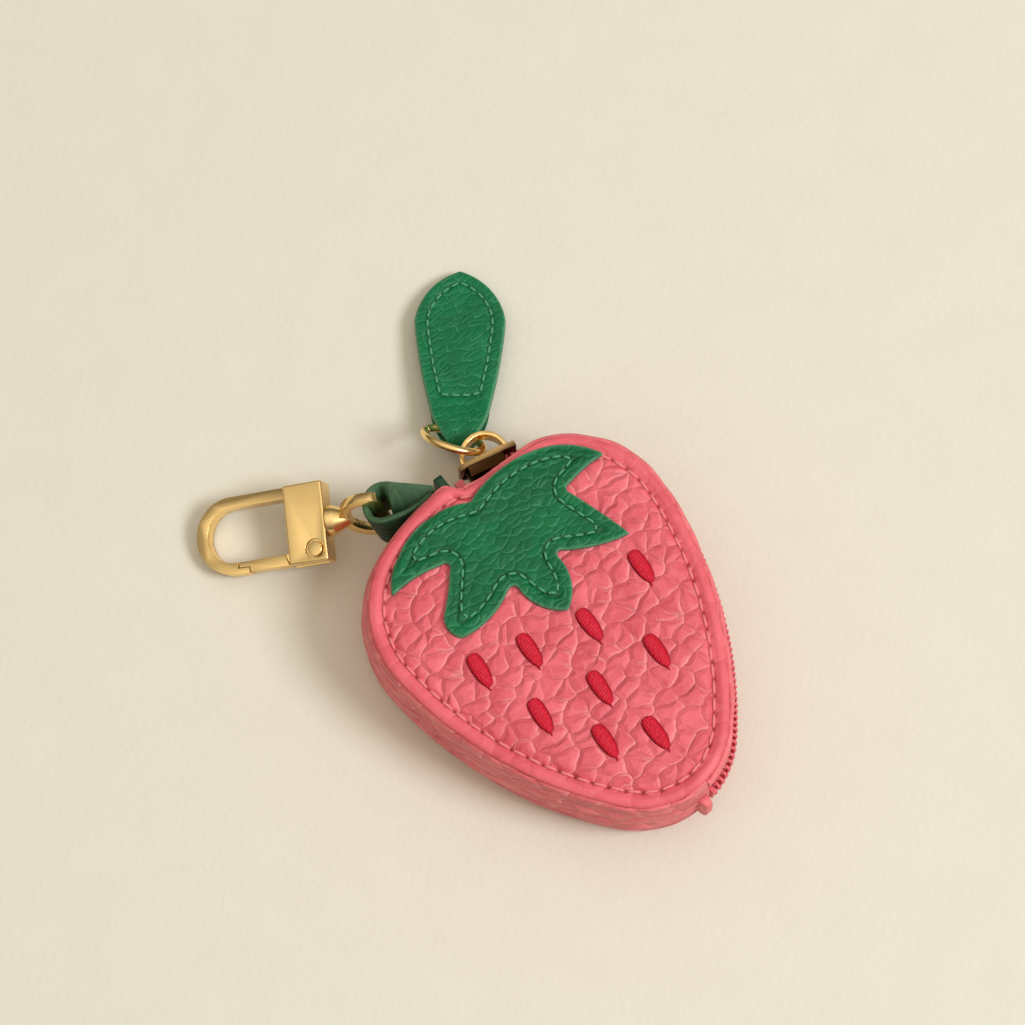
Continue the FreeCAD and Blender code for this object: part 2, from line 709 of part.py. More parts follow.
def strap_pieces(grow):
    """The strap's path as a closed lens, moved outwards by grow."""
    pieces = three_point_arcs(STRAP_START, STRAP_ARCS)
    pieces.append(Part.LineSegment(V(*STRAP_END, 0), V(*STRAP_START, 0)))
    raw = Part.Wire([piece.toShape() for piece in pieces])
    face = Part.Face(raw)
    return face.makeOffset2D(grow, join=0) if grow else face


def make_strap():
    """A strip of leather bent into a teardrop, its two ends going into the seam beside the zip."""
    outer = strap_pieces(0)
    inner = strap_pieces(-num("Size.strap_skin"))
    width = num("Size.strap_width")
    loop = outer.cut(inner).extrude(V(0, 0, width))
    loop.translate(V(0, 0, -width / 2))
    loop.Placement = eye_frame().multiply(loop.Placement)
    keep_out = doc.getObject("wall_keep_out").Shape
    loop = loop.cut(keep_out)
    feature = doc.addObject("Part::Feature", "strap_loop")
    feature.Label = "strap_loop"
    feature.Shape = max(loop.Solids, key=lambda solid: solid.Volume)
    nodes.append(feature)


def make_strap_root():
    """What the moving strap must stay clear of, the sewn-in root, and the short end beside it."""
    clear = doc.addObject("PartDesign::Body", "wall_keep_out")
    sketch = new_sketch(clear)
    closed_outline(sketch, "Size.wall_out + Size.strap_gap")
    pad(clear, sketch, "Size.pouch_depth")
    low, high = f"{MIDDLE} - Size.strap_low", f"{MIDDLE} + Size.strap_high"
    for label, height in (("strap_root", "root_height"), ("strap_end", "end_height")):
        band(label, piece_of(TOP_ARC, label), "Size.root_depth", f"Size.wall_out + Size.{height}", low, high)


# ---- snap hook ----


def make_hook():
    """Block and bow in one casting, with a slot for the gate and a bore for the swivel's stud."""
    place = hook_frame()
    body = new_body("hook_body", place)
    half, bar, reach = num("Size.bow_width / 2"), num("Size.bow_bar"), num("Size.bow_reach")
    inner, centre = half - bar, reach - half
    nose, step, back = 16.9, 6.7, 6.0
    bow = new_sketch(body, lift="-Size.bow_depth / 2")
    pieces = [
        Part.LineSegment(V(back, -half, 0), V(centre, -half, 0)),
        Part.Arc(V(centre, -half, 0), V(reach, 0, 0), V(centre, half, 0)),
        Part.LineSegment(V(centre, half, 0), V(nose, half, 0)),
        Part.LineSegment(V(nose, half, 0), V(nose, step, 0)),
        Part.LineSegment(V(nose, step, 0), V(nose + 2.3, step, 0)),
        Part.LineSegment(V(nose + 2.3, step, 0), V(nose + 2.3, inner, 0)),
        Part.LineSegment(V(nose + 2.3, inner, 0), V(centre, inner, 0)),
        Part.Arc(V(centre, inner, 0), V(centre + inner, 0, 0), V(centre, -inner, 0)),
        Part.LineSegment(V(centre, -inner, 0), V(back, -inner, 0)),
        Part.LineSegment(V(back, -inner, 0), V(back, -half, 0)),
    ]
    chain(bow, pieces)
    pad(body, bow, "Size.bow_depth")
    block = new_sketch(body, lift="-Size.block_depth / 2")
    rectangle(block, "0", "Size.block_length", "-Size.block_width / 2", "Size.block_width / 2")
    pad(body, block, "Size.block_depth")
    corners = num("Size.block_depth")

    def outside(edge):
        box = edge.BoundBox
        flat = box.ZLength < 1e-6
        upright = box.XMax < 1e-6 and box.YLength < 1e-6 and box.ZLength > corners - 0.1
        return upright or (flat and abs(abs(box.ZMin) - corners / 2) < 1e-6)

    fillet(body, SIZES["block_round"], outside)
    slot = new_sketch(body, lift="-Size.slot_depth / 2")
    rectangle(slot, "0.8", "Size.block_length + 0.1", "2.4", "Size.block_width / 2 + 0.1")
    pocket(body, slot, "Size.slot_depth", reverse=True)
    hole = new_sketch(body, lift="-Size.block_depth / 2 - 0.1")
    circle(hole, "Size.rivet_x", "Size.rivet_y", "Size.rivet_radius")
    pocket(body, hole, "Size.block_depth + 0.2", reverse=True)
    groove = new_sketch(body, lift="Size.block_depth / 2")
    circle(groove, "Size.rivet_x", "Size.rivet_y", "Size.rivet_groove")
    pocket(body, groove, "Size.rivet_groove_depth")
    bore = new_sketch(body, "YZ_Plane", "-0.1")
    circle(bore, "0", "0", "Size.stud_radius + 0.06")
    pocket(body, bore, "Size.block_length + 0.2", reverse=True)
    seat = new_sketch(body, "YZ_Plane", "Size.block_length - Size.seat_depth")
    circle(seat, "0", "0", "Size.seat_radius")
    pocket(body, seat, "Size.seat_depth + 0.1", reverse=True)

    pin = new_body("gate_pin", place)
    shank = new_sketch(pin, lift="-Size.block_depth / 2")
    circle(shank, "Size.rivet_x", "Size.rivet_y", "Size.rivet_radius")
    pad(pin, shank, "Size.block_depth")
    button = new_sketch(pin, lift="Size.block_depth / 2 - Size.rivet_head_depth")
    circle(button, "Size.rivet_x", "Size.rivet_y", "Size.rivet_head")
    pad(pin, button, "Size.rivet_head_depth + Size.rivet_head_rise")
    foot = new_sketch(pin, lift="-Size.block_depth / 2 - Size.rivet_foot_rise")
    circle(foot, "Size.rivet_x", "Size.rivet_y", "Size.rivet_foot")
    pad(pin, foot, "Size.rivet_foot_rise")


def make_gate():
    """The sprung arm: a bar with a stepped end behind the nose, and a thin tongue on the pin."""
    place = hook_frame()
    gate = new_body("gate", place)
    bar = new_sketch(gate, lift="-Size.gate_depth / 2")
    edge, inside, step = "7.7", "5.5", "6.55"
    corners = [("8.5", edge), ("9.3", inside), ("18.95", inside), ("18.95", step), ("16.7", step), ("16.7", edge)]
    polygon(bar, corners)
    pad(gate, bar, "Size.gate_depth")
    tongue = new_sketch(gate, lift="-Size.tongue_depth / 2")
    x, y, radius = num("Size.rivet_x"), num("Size.rivet_y"), 1.6
    pieces = [
        Part.LineSegment(V(x, y - radius, 0), V(9.6, 5.5, 0)),
        Part.LineSegment(V(9.6, 5.5, 0), V(9.6, 7.5, 0)),
        Part.LineSegment(V(9.6, 7.5, 0), V(x, y + radius, 0)),
        Part.Arc(V(x, y + radius, 0), V(x - radius, y, 0), V(x, y - radius, 0)),
    ]
    chain(tongue, pieces)
    pad(gate, tongue, "Size.tongue_depth")
    eye = new_sketch(gate, lift="-Size.gate_depth / 2")
    circle(eye, "Size.rivet_x", "Size.rivet_y", "Size.rivet_radius + 0.05")
    pocket(gate, eye, "Size.gate_depth", reverse=True)

    spring = new_body("gate_spring", place)
    leaf = new_sketch(spring, lift="-Size.spring_width / 2")
    low = Part.Arc(V(1.1, 2.6, 0), V(4.4, 2.95, 0), V(7.6, 4.6, 0))
    high = Part.Arc(V(7.45, 4.9, 0), V(4.3, 3.25, 0), V(1.1, 2.9, 0))
    ends = [Part.LineSegment(V(7.6, 4.6, 0), V(7.45, 4.9, 0)), Part.LineSegment(V(1.1, 2.9, 0), V(1.1, 2.6, 0))]
    chain(leaf, [low, ends[0], high, ends[1]])
    pad(spring, leaf, "Size.spring_width")


def make_eye():
    """Swivel eye: a D-shaped ring on a domed collar, with a stud that is peened inside the block."""
    body = new_body("swivel_eye", eye_frame())
    turned = new_sketch(body)
    stud, head = "Size.stud_radius", "2.0"
    polygon(turned, [
        ("-4.6", "0"), ("-4.6", "1.2"), ("-3.0", "2.1"), ("-1.4", "2.9"), ("-0.15", "3.1"), ("-0.15", stud),
        ("Size.block_length - 1.9", stud), ("Size.block_length - 1.9", head), ("Size.block_length - 0.5", head),
        ("Size.block_length - 0.2", "1.5"), ("Size.block_length - 0.2", "0"),
    ])
    spun = body.newObject("PartDesign::Revolution", "Revolution")
    spun.Profile = turned
    spun.ReferenceAxis = (turned, ["H_Axis"])
    spun.Angle = 360.0
    doc.recompute()
    ring = new_sketch(body, "XZ_Plane", "-Size.eye_bar / 2")
    for bar, side, corner, arc_start, crest in ((-11.9, 6.4, 1.6, -8.0, -2.7), (-10.1, 4.6, 0.6, -8.0, -4.4)):
        cut = corner * (1 - math.sqrt(0.5))
        chain(ring, [
            Part.LineSegment(V(bar, -side + corner, 0), V(bar, side - corner, 0)),
            Part.Arc(V(bar, side - corner, 0), V(bar + cut, side - cut, 0), V(bar + corner, side, 0)),
            Part.LineSegment(V(bar + corner, side, 0), V(arc_start, side, 0)),
            Part.Arc(V(arc_start, side, 0), V(crest, 0, 0), V(arc_start, -side, 0)),
            Part.LineSegment(V(arc_start, -side, 0), V(bar + corner, -side, 0)),
            Part.Arc(V(bar + corner, -side, 0), V(bar + cut, -side + cut, 0), V(bar, -side + corner, 0)),
        ])
    pad(body, ring, "Size.eye_bar")


make_panels()
make_walls()
make_zip()
make_leaf()
inset_thread("leaf_stitching", three_point_arcs(LEAF_START, LEAF_ARCS), num("Size.leaf_inset"),
             num("Size.pouch_depth + Size.leaf_skin"))
make_seeds()
make_slider()
make_ring()
make_tab()
make_strap_root()
make_strap()
make_hook()
make_gate()
make_eye()
doc.recompute()

failed = [obj.Name for obj in doc.Objects if "Invalid" in obj.State or "Error" in obj.State]
if failed:
    raise RuntimeError(f"these objects failed: {failed}")
for node in nodes:
    if node.Shape.isNull() or not node.Shape.isValid():
        raise RuntimeError(f"{node.Label} has no valid shape")

os.makedirs("parts", exist_ok=True)
for node in nodes:
    node.Shape.exportStep(f"parts/{node.Label}.step")
    print(node.Label, round(node.Shape.Volume, 1), "mm3 in", len(node.Shape.Solids), "solid")
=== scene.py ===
import bpy
import bmesh
import math
import numpy as np
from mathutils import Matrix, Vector


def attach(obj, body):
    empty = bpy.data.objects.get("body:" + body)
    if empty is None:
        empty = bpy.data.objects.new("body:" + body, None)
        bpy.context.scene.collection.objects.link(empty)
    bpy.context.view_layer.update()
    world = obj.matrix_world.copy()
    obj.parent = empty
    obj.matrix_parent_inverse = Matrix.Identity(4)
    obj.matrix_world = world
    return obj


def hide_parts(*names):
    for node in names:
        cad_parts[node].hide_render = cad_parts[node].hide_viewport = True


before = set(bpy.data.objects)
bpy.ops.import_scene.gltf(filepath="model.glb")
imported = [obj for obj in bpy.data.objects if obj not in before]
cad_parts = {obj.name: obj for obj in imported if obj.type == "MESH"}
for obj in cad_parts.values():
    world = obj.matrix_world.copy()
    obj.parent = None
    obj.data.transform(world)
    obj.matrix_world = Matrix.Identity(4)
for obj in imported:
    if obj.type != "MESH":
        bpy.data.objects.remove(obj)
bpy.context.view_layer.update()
mm = 0.001


def tint(red, green, blue):
    # a colour as a paint chart gives it, 0 to 255, turned into the shader's linear values
    chart = np.array([red, green, blue]) / 255.0
    linear = np.where(chart <= 0.04045, chart / 12.92, ((chart + 0.055) / 1.055) ** 2.4)
    return (*[float(v) for v in linear], 1.0)


class Value:
    # wraps a socket, so that + - * / and powers on it add Math nodes
    def __init__(self, finish, socket):
        self.finish, self.socket = finish, socket

    def maths(self, operation, *parts, clamp=False):
        return self.finish.node("ShaderNodeMath", {"operation": operation, "use_clamp": clamp}, dict(enumerate(parts)))

    def __add__(self, other): return self.maths("ADD", self, other)
    def __sub__(self, other): return self.maths("SUBTRACT", self, other)
    def __mul__(self, other): return self.maths("MULTIPLY", self, other)
    def __truediv__(self, other): return self.maths("DIVIDE", self, other)
    def __pow__(self, other): return self.maths("POWER", self, other)
    def __radd__(self, other): return self.maths("ADD", other, self)
    def __rsub__(self, other): return self.maths("SUBTRACT", other, self)
    def __rmul__(self, other): return self.maths("MULTIPLY", other, self)
    def sine(self): return self.maths("SINE", self)
    def size(self): return self.maths("ABSOLUTE", self)
    def clamped(self): return self.maths("ADD", self, 0.0, clamp=True)


class Finish:
    # one material and the few nodes that all of them need
    def __init__(self, name):
        self.material = bpy.data.materials.new(name)
        self.material.use_nodes = True
        self.tree = self.material.node_tree
        self.tree.nodes.clear()
        self.out = self.tree.nodes.new("ShaderNodeOutputMaterial")

    def node(self, kind, settings=None, inputs=None, out=0):
        made = self.tree.nodes.new(kind)
        for key, value in (settings or {}).items():
            setattr(made, key, value)
        for key, value in (inputs or {}).items():
            if isinstance(value, Value):
                self.tree.links.new(value.socket, made.inputs[key])
            else:
                made.inputs[key].default_value = value
        return Value(self, made.outputs[out])

    def place(self): return self.node("ShaderNodeTexCoord", out="Object")

    def grid(self):
        # the piece's own UV map, u along it and v across it, both in millimetres
        uv = self.node("ShaderNodeUVMap", {"uv_map": "UVMap"})
        return [self.node("ShaderNodeSeparateXYZ", None, {0: uv}, out=i) for i in (0, 1)]

    def marks(self, name): return self.node("ShaderNodeAttribute", {"attribute_name": name}, out="Fac")

    def turned(self, where, angles, stretch=(1, 1, 1)):
        return self.node("ShaderNodeMapping", None, {0: where, 2: [math.radians(a) for a in angles], 3: stretch})

    def noise(self, where, scale, detail=2.0, rough=0.5, out=0):
        return self.node("ShaderNodeTexNoise", None, {"Vector": where, "Scale": scale, "Detail": detail, "Roughness": rough}, out=out)

    def shaken(self, where, scale, amount):
        # the place moved about by noise, so that cells and lines lose their straightness
        push = self.noise(where, scale, 1.0, out=1)
        centred = self.node("ShaderNodeVectorMath", {"operation": "SUBTRACT"}, {0: push, 1: (0.5, 0.5, 0.5)})
        scaled = self.node("ShaderNodeVectorMath", {"operation": "SCALE"}, {0: centred, "Scale": amount})
        return self.node("ShaderNodeVectorMath", {"operation": "ADD"}, {0: where, 1: scaled})

    def cells(self, where, scale, feature="DISTANCE_TO_EDGE", out=0):
        return self.node("ShaderNodeTexVoronoi", {"voronoi_dimensions": "2D", "feature": feature}, {"Vector": where, "Scale": scale}, out=out)

    def ramp(self, value, low, high):
        # 0 below low, 1 above high, smooth between
        return self.node("ShaderNodeMapRange", {"interpolation_type": "SMOOTHSTEP"}, {0: value, 1: low, 2: high, 3: 0.0, 4: 1.0})

    def mix(self, amount, first, second):
        made = self.tree.nodes.new("ShaderNodeMix")
        made.data_type = "RGBA"
        for socket, value in ((made.inputs[0], amount), (made.inputs[6], first), (made.inputs[7], second)):
            if isinstance(value, Value):
                self.tree.links.new(value.socket, socket)
            else:
                socket.default_value = value
        return Value(self, made.outputs[2])

    def done(self, colour, rough, height=None, rise=0.1, **constants):
        inputs = {"Base Color": colour, "Roughness": rough}
        if height is not None:
            inputs["Normal"] = self.node("ShaderNodeBump", None, {"Height": height, "Strength": 1.0, "Distance": rise * mm})
        inputs.update({key.replace("_", " "): value for key, value in constants.items()})
        shader = self.node("ShaderNodeBsdfPrincipled", None, inputs)
        self.tree.links.new(shader.socket, self.out.inputs[0])
        return self.material


def leatherFinish(name, look):
    # tumbled grain: smooth facets that differ a little in tone, sunken creases between them painted darker as painted
    # shade, the crease side facing the key light painted paler as a painted highlight, and fine pores
    f = Finish(name)
    if look["follows"]:
        along, across = f.grid()
        where = f.node("ShaderNodeCombineXYZ", None, {0: along * mm, 1: across * mm})
    else:
        where = f.place()
    loose = f.shaken(where, look["sway"], 0.0022 * look["loose"])
    long = f.turned(loose, look["turn"], (1.0 / look["long"], 1.0, 1.0))
    scale = 1.0 / (look["cell"] * mm)
    edge = f.cells(long, scale)
    facet = f.node("ShaderNodeSeparateXYZ", None, {0: f.cells(long, scale, "F1", "Color")})
    local = f.node("ShaderNodeVectorMath", {"operation": "SUBTRACT"}, {0: long, 1: f.cells(long, scale, "F1", "Position")})
    tilt = f.node("ShaderNodeVectorMath", {"operation": "DOT_PRODUCT"}, {0: local, 1: (0.55 * scale, -0.83 * scale, 0.0)}, out="Value")
    keep = 1.0 - f.marks("smooth").clamped()
    strong = f.ramp(f.noise(where, 420, 1.0), 0.3, 0.62)
    crease = (1.0 - f.ramp(edge, 0.0, look["wide"])) * keep * (0.25 + strong * 0.75)
    # the crease side that faces the key light (the tilt direction) is painted paler: a painted highlight
    paintedHighlight = (1.0 - f.ramp(edge, look["wide"] * 0.7, look["wide"] * 2.6)) * f.ramp(tilt, -0.05, 0.5) * keep * (0.3 + strong * 0.7)
    valley = f.ramp(edge, 0.0, 0.34)
    branch = (1.0 - f.ramp(f.cells(f.shaken(long, 420, 0.0014), 1.45 * scale), 0.0, look["wide"] * 0.9)) * keep
    patch = f.noise(where, 130, 2.0)
    fine = f.noise(where, 2600, 3.0, 0.6)
    wrinkle = f.noise(f.turned(loose, look["turn"], (0.3, 1.0, 1.0)), 260 * 4.2 / look["cell"], 2.0)
    shade = f.mix(f.ramp(patch, 0.35, 0.65) * 0.55 + facet * look["facets"], look["dark"], look["mid"])
    shade = f.mix((paintedHighlight * look["pale"] + branch * look["pale"] * 0.25 + fine * 0.1).clamped(), shade, look["light"])
    # the creases are painted towards the deep colour: painted shade in the creases
    shade = f.mix((crease * look["sunk"]).clamped(), shade, look["deep"])
    # the pits mark (needle holes and grooves along stitch rows) is painted towards the deep colour: painted shade in
    # those recesses
    pits = f.marks("pits").clamped()
    edgeHighlightAndWear = f.marks("edgeHighlightAndWear").clamped()
    shade = f.mix(pits, shade, look["deep"])
    # the edge mark is painted towards the cut colour: the paler cut edge of the leather together with a painted
    # highlight along its rounded edge
    shade = f.mix(edgeHighlightAndWear, shade, look["cut"])
    height = (valley * look["pillow"] + facet * valley * 0.2 + tilt * look["tilt"]) * keep - crease * look["crease"] - branch * 0.07
    height = height + wrinkle * look["wrinkles"] + fine * 0.05
    rough = look["rough"] + fine * 0.1 - crease * 0.06
    return f.done(shade, rough, height, look["rise"], Specular_IOR_Level=look["gloss"])


def threadFinish(name, dark, light, twist=2.6, rough=0.55):
    # plied thread: slanting strands across the length, their backs painted paler as a painted highlight and the grooves
    # between them darker as painted shade
    f = Finish(name)
    along, across = f.grid()
    strand = ((along * twist + across * 1.4) * math.tau).sine() * 0.5 + 0.5
    fuzz = f.noise(f.place(), 5200, 2.0)
    shade = f.mix(strand * 0.7 + fuzz * 0.3, dark, light)
    return f.done(shade, rough + fuzz * 0.15, strand + fuzz * 0.4, 0.05, Sheen_Weight=0.25, Sheen_Roughness=0.4)


def goldFinish(name, base, edgeHighlightAndWear, rough=0.16):
    # polished plating: faint hairlines and slightly duller patches
    f = Finish(name)
    where = f.place()
    patch = f.noise(where, 240, 3.0)
    hairs = f.noise(f.turned(where, (20, 35, 50), (1.0, 14.0, 1.0)), 900, 2.0)
    # here the second colour is only the duller worn patches of the plating
    shade = f.mix(f.ramp(patch, 0.3, 0.75) * 0.6, base, edgeHighlightAndWear)
    # where the piece carries the painted-shade mark, its colour goes to a near-black brown: painted shade
    shade = f.mix(f.marks("paintedShade"), shade, (0.04, 0.018, 0.006, 1))
    return f.done(shade, rough + hairs * 0.1 + patch * 0.08, hairs * 0.5 + patch * 0.5, 0.006, Metallic=1.0)


# deep: the colour of the painted shade in creases, needle holes and stitch grooves; light: the paler grain lines and
# the painted highlight on the lit crease side; cut: the pale edge, partly the cut edge's own colour and partly a
# painted highlight
pinkLook = dict(follows=False, cell=3.2, long=1.3, turn=(0, 0, -8), loose=1.3, sway=230, wide=0.075, pale=0.6, facets=0.4, wrinkles=0.3, rough=0.46, rise=0.55, gloss=0.3, crease=0.14, tilt=0.26, pillow=0.55, sunk=0.26,
                dark=tint(214, 82, 93), mid=tint(238, 110, 120), light=tint(255, 158, 160), deep=tint(150, 36, 46), cut=tint(250, 150, 150))
# the side wall's pink: the same leather painted paler, a painted sheen of light thrown up from the floor onto the side
pinkSideSheenLook = dict(pinkLook, follows=True, cell=2.3, long=2.7, turn=(0, 0, 0), sway=170, pale=0.45, wrinkles=0.55, rise=0.6, gloss=0.4, tilt=0.2,
                    dark=tint(218, 94, 102), mid=tint(244, 124, 128), light=tint(255, 176, 172))
# the zip strips and patches keep the side's paler colours: the same painted sheen
pinkPlainLook = dict(pinkSideSheenLook, long=1.4, cell=2.4, rise=0.22, pale=0.25)
greenLook = dict(follows=False, cell=1.6, long=1.8, turn=(0, 0, 50), loose=1.0, sway=340, wide=0.08, pale=0.3, facets=0.35, wrinkles=0.35, rough=0.4, rise=0.2, gloss=0.24, crease=0.14, tilt=0.3, pillow=0.4, sunk=0.35,
                 dark=tint(0, 84, 47), mid=tint(0, 108, 61), light=tint(80, 184, 130), deep=tint(0, 42, 25), cut=tint(120, 186, 146))
stemLook = dict(greenLook, turn=(0, 0, 127), long=2.6, cell=1.3, dark=tint(0, 98, 56), mid=tint(0, 116, 68), facets=0.2, wrinkles=0.35)
# the strap's green: the same leather painted darker, painted shade for a strap that lies in shadow
shadedGreenLook = dict(greenLook, follows=True, dark=tint(10, 44, 26), mid=tint(15, 60, 36), light=tint(66, 108, 76), deep=tint(6, 24, 14), cut=tint(110, 150, 110), cell=1.6, rise=0.14)

pinkLeather = leatherFinish("pinkLeather", pinkLook)
pinkSideSheen = leatherFinish("pinkSideSheenLeather", pinkSideSheenLook)
pinkPlain = leatherFinish("pinkFoldedLeather", pinkPlainLook)
greenLeather = leatherFinish("greenLeather", greenLook)
stemLeather = leatherFinish("stemLeather", stemLook)
shadedGreen = leatherFinish("shadedGreenLeather", shadedGreenLook)
pinkThread = threadFinish("pinkThread", tint(222, 92, 104), tint(255, 158, 160))
greenThread = threadFinish("greenThread", tint(16, 112, 68), tint(100, 190, 140))
gold = goldFinish("paleGold", (0.93, 0.68, 0.29, 1), (0.86, 0.60, 0.24, 1))
brownGold = goldFinish("sliderGold", (0.84, 0.57, 0.24, 1), (0.70, 0.45, 0.18, 1), 0.2)


def satinFinish():
    # satin stitch: strands run across the seed, their backs painted paler as a painted highlight, and the seed painted
    # darker towards the rim as painted shade
    f = Finish("redSatin")
    along, across = f.grid()
    fuzz = f.noise(f.place(), 1500, 2.0)
    strand = ((along * 1.9 + across * 1.3 + fuzz * 1.1) * math.tau).sine() * 0.5 + 0.5
    rim = f.marks("rim")
    shade = f.mix(strand * 0.4 + fuzz * 0.6, tint(170, 2, 28), tint(244, 40, 68))
    # the rim mark is painted towards a dark red: painted shade on the seed's sides
    shade = f.mix(rim, shade, tint(104, 0, 16))
    return f.done(shade, 0.4 + fuzz * 0.15, strand + fuzz * 0.8, 0.09, Specular_IOR_Level=0.25)


def wovenFinish(name, dark, light, along_count, across_count, rise=0.06):
    # plain weave on the piece's own millimetres: ribs one way, finer picks the other
    f = Finish(name)
    along, across = f.grid()
    ribs = (along * (along_count * math.tau)).sine() * 0.5 + 0.5
    picks = (across * (across_count * math.tau)).sine() * 0.5 + 0.5
    fuzz = f.noise(f.place(), 3000, 2.0)
    weave = ribs * 0.6 + picks * 0.4
    return f.done(f.mix(weave * 0.7 + fuzz * 0.4, dark, light), 0.7 + fuzz * 0.2, weave, rise, Sheen_Weight=0.2)


def plainWeave(name, dark, light, pitch):
    # the same weave on Object coordinates, for the parts inside
    f = Finish(name)
    where = f.place()
    x, y, z = [f.node("ShaderNodeSeparateXYZ", None, {0: where}, out=i) for i in (0, 1, 2)]
    turns = math.tau / (pitch * mm)
    weave = (((x + z) * turns).sine() * ((y + z) * turns).sine()) * 0.5 + 0.5
    fuzz = f.noise(where, 1500, 3.0)
    return f.done(f.mix(weave * 0.6 + fuzz * 0.4, dark, light), 0.75 + fuzz * 0.15, weave + fuzz * 0.4, 0.05)


def boardFinish():
    f = Finish("stiffenerBoard")
    fibres = f.noise(f.turned(f.place(), (0, 0, 30), (1, 5, 1)), 900, 4.0)
    return f.done(f.mix(fibres, tint(150, 134, 112), tint(202, 188, 164)), 0.8 + fibres * 0.1, fibres, 0.05)


def nylonFinish():
    # moulded nylon: smooth, slightly waxy, a little paler in patches
    f = Finish("pinkNylon")
    patch = f.noise(f.place(), 1400, 2.0)
    return f.done(f.mix(patch, tint(206, 66, 82), tint(250, 122, 132)), 0.3 + patch * 0.12, patch, 0.03, Coat_Weight=0.15)


def steelFinish():
    f = Finish("springSteel")
    hairs = f.noise(f.turned(f.place(), (0, 0, 0), (1, 9, 1)), 1500, 2.0)
    return f.done(f.mix(hairs, tint(140, 140, 146), tint(190, 190, 196)), 0.25 + hairs * 0.15, hairs, 0.01, Metallic=1.0)


redSatin = satinFinish()
tapeCloth = wovenFinish("zipTapeCloth", tint(186, 58, 72), tint(240, 116, 126), 1.6, 2.4)
liningCloth = plainWeave("liningCloth", tint(196, 150, 140), tint(234, 200, 188), 0.5)
stiffenerBoard = boardFinish()
pinkNylon = nylonFinish()
springSteel = steelFinish()
print("materials made")


def finished(name, points, faces, uvs, body, material, cad, marks=None):
    # the points and faces as one smooth-shaded piece, turned outwards if its volume comes out negative
    points = np.asarray(points, float).reshape(-1, 3)
    a, b, c = points[faces[:, 0]], points[faces[:, 1]], points[faces[:, 2]]
    d = points[faces[:, 3]]
    volume = np.einsum("ij,ij->i", a, np.cross(b, c)).sum() + np.einsum("ij,ij->i", a, np.cross(c, d)).sum()
    if volume < 0:
        faces, uvs = faces[:, ::-1], uvs[:, ::-1]
    three = faces[:, 3] == faces[:, 2]
    three |= faces[:, 0] == faces[:, 1]
    mesh = bpy.data.meshes.new(name)
    loops = faces.reshape(-1)
    mesh.vertices.add(len(points))
    mesh.vertices.foreach_set("co", (points * mm).ravel())
    mesh.loops.add(len(loops))
    mesh.loops.foreach_set("vertex_index", loops)
    mesh.polygons.add(len(faces))
    mesh.polygons.foreach_set("loop_start", np.arange(0, len(loops), 4))
    mesh.update(calc_edges=True)
    layer = mesh.uv_layers.new(name="UVMap")
    layer.data.foreach_set("uv", uvs.reshape(-1))
    for key, value in (marks or {}).items():
        mesh.attributes.new(key, "FLOAT", "POINT").data.foreach_set("value", np.asarray(value, float).ravel())
    if three.any():
        mesh.validate(clean_customdata=False)
    mesh.polygons.foreach_set("use_smooth", np.ones(len(mesh.polygons), bool))
    mesh.materials.append(material)
    piece = bpy.data.objects.new(name, mesh)
    bpy.context.scene.collection.objects.link(piece)
    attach(piece, body)
    if cad:
        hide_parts(*([cad] if isinstance(cad, str) else cad))
    return piece


def gridFaces(rows, columns, wrapRows, wrapColumns, start=0):
    # quads between neighbours on a grid of points, with the faces' own corners on the unrolled grid for the UVs
    i, j = np.meshgrid(np.arange(rows - (not wrapRows)), np.arange(columns - (not wrapColumns)), indexing="ij")
    i, j = i.ravel(), j.ravel()
    corners = [(i, j), (i + 1, j), (i + 1, j + 1), (i, j + 1)]
    faces = np.stack([(a % rows) * columns + (b % columns) + start for a, b in corners], 1)
    unrolled = np.stack([np.stack([a, b], 1) for a, b in corners], 1)
    return faces, unrolled


def gridSurface(points, us, vs, wrapRows=False, wrapColumns=True):
    # a grid of points (rows, columns, 3); us and vs have one more value than the grid where it wraps. Open end rows close to their middle
    rows, columns = points.shape[:2]
    faces, unrolled = gridFaces(rows, columns, wrapRows, wrapColumns)
    uvs = np.stack([us[unrolled[..., 0]], vs[unrolled[..., 1]]], -1)
    flat = points.reshape(-1, 3)
    if not wrapRows and wrapColumns:
        for row in (0, rows - 1):
            centre = len(flat)
            flat = np.vstack([flat, points[row].mean(0)])
            j = np.arange(0, columns, 2)
            a, b, c = row * columns + j, row * columns + (j + 1) % columns, row * columns + (j + 2) % columns
            order = (c, b, a) if row else (a, b, c)
            fan = np.stack([*order, np.full(len(j), centre)], 1)
            faces = np.vstack([faces, fan])
            uvs = np.concatenate([uvs, np.tile([[us[row], 0.0]], (len(j), 4, 1))])
    return flat, faces, uvs


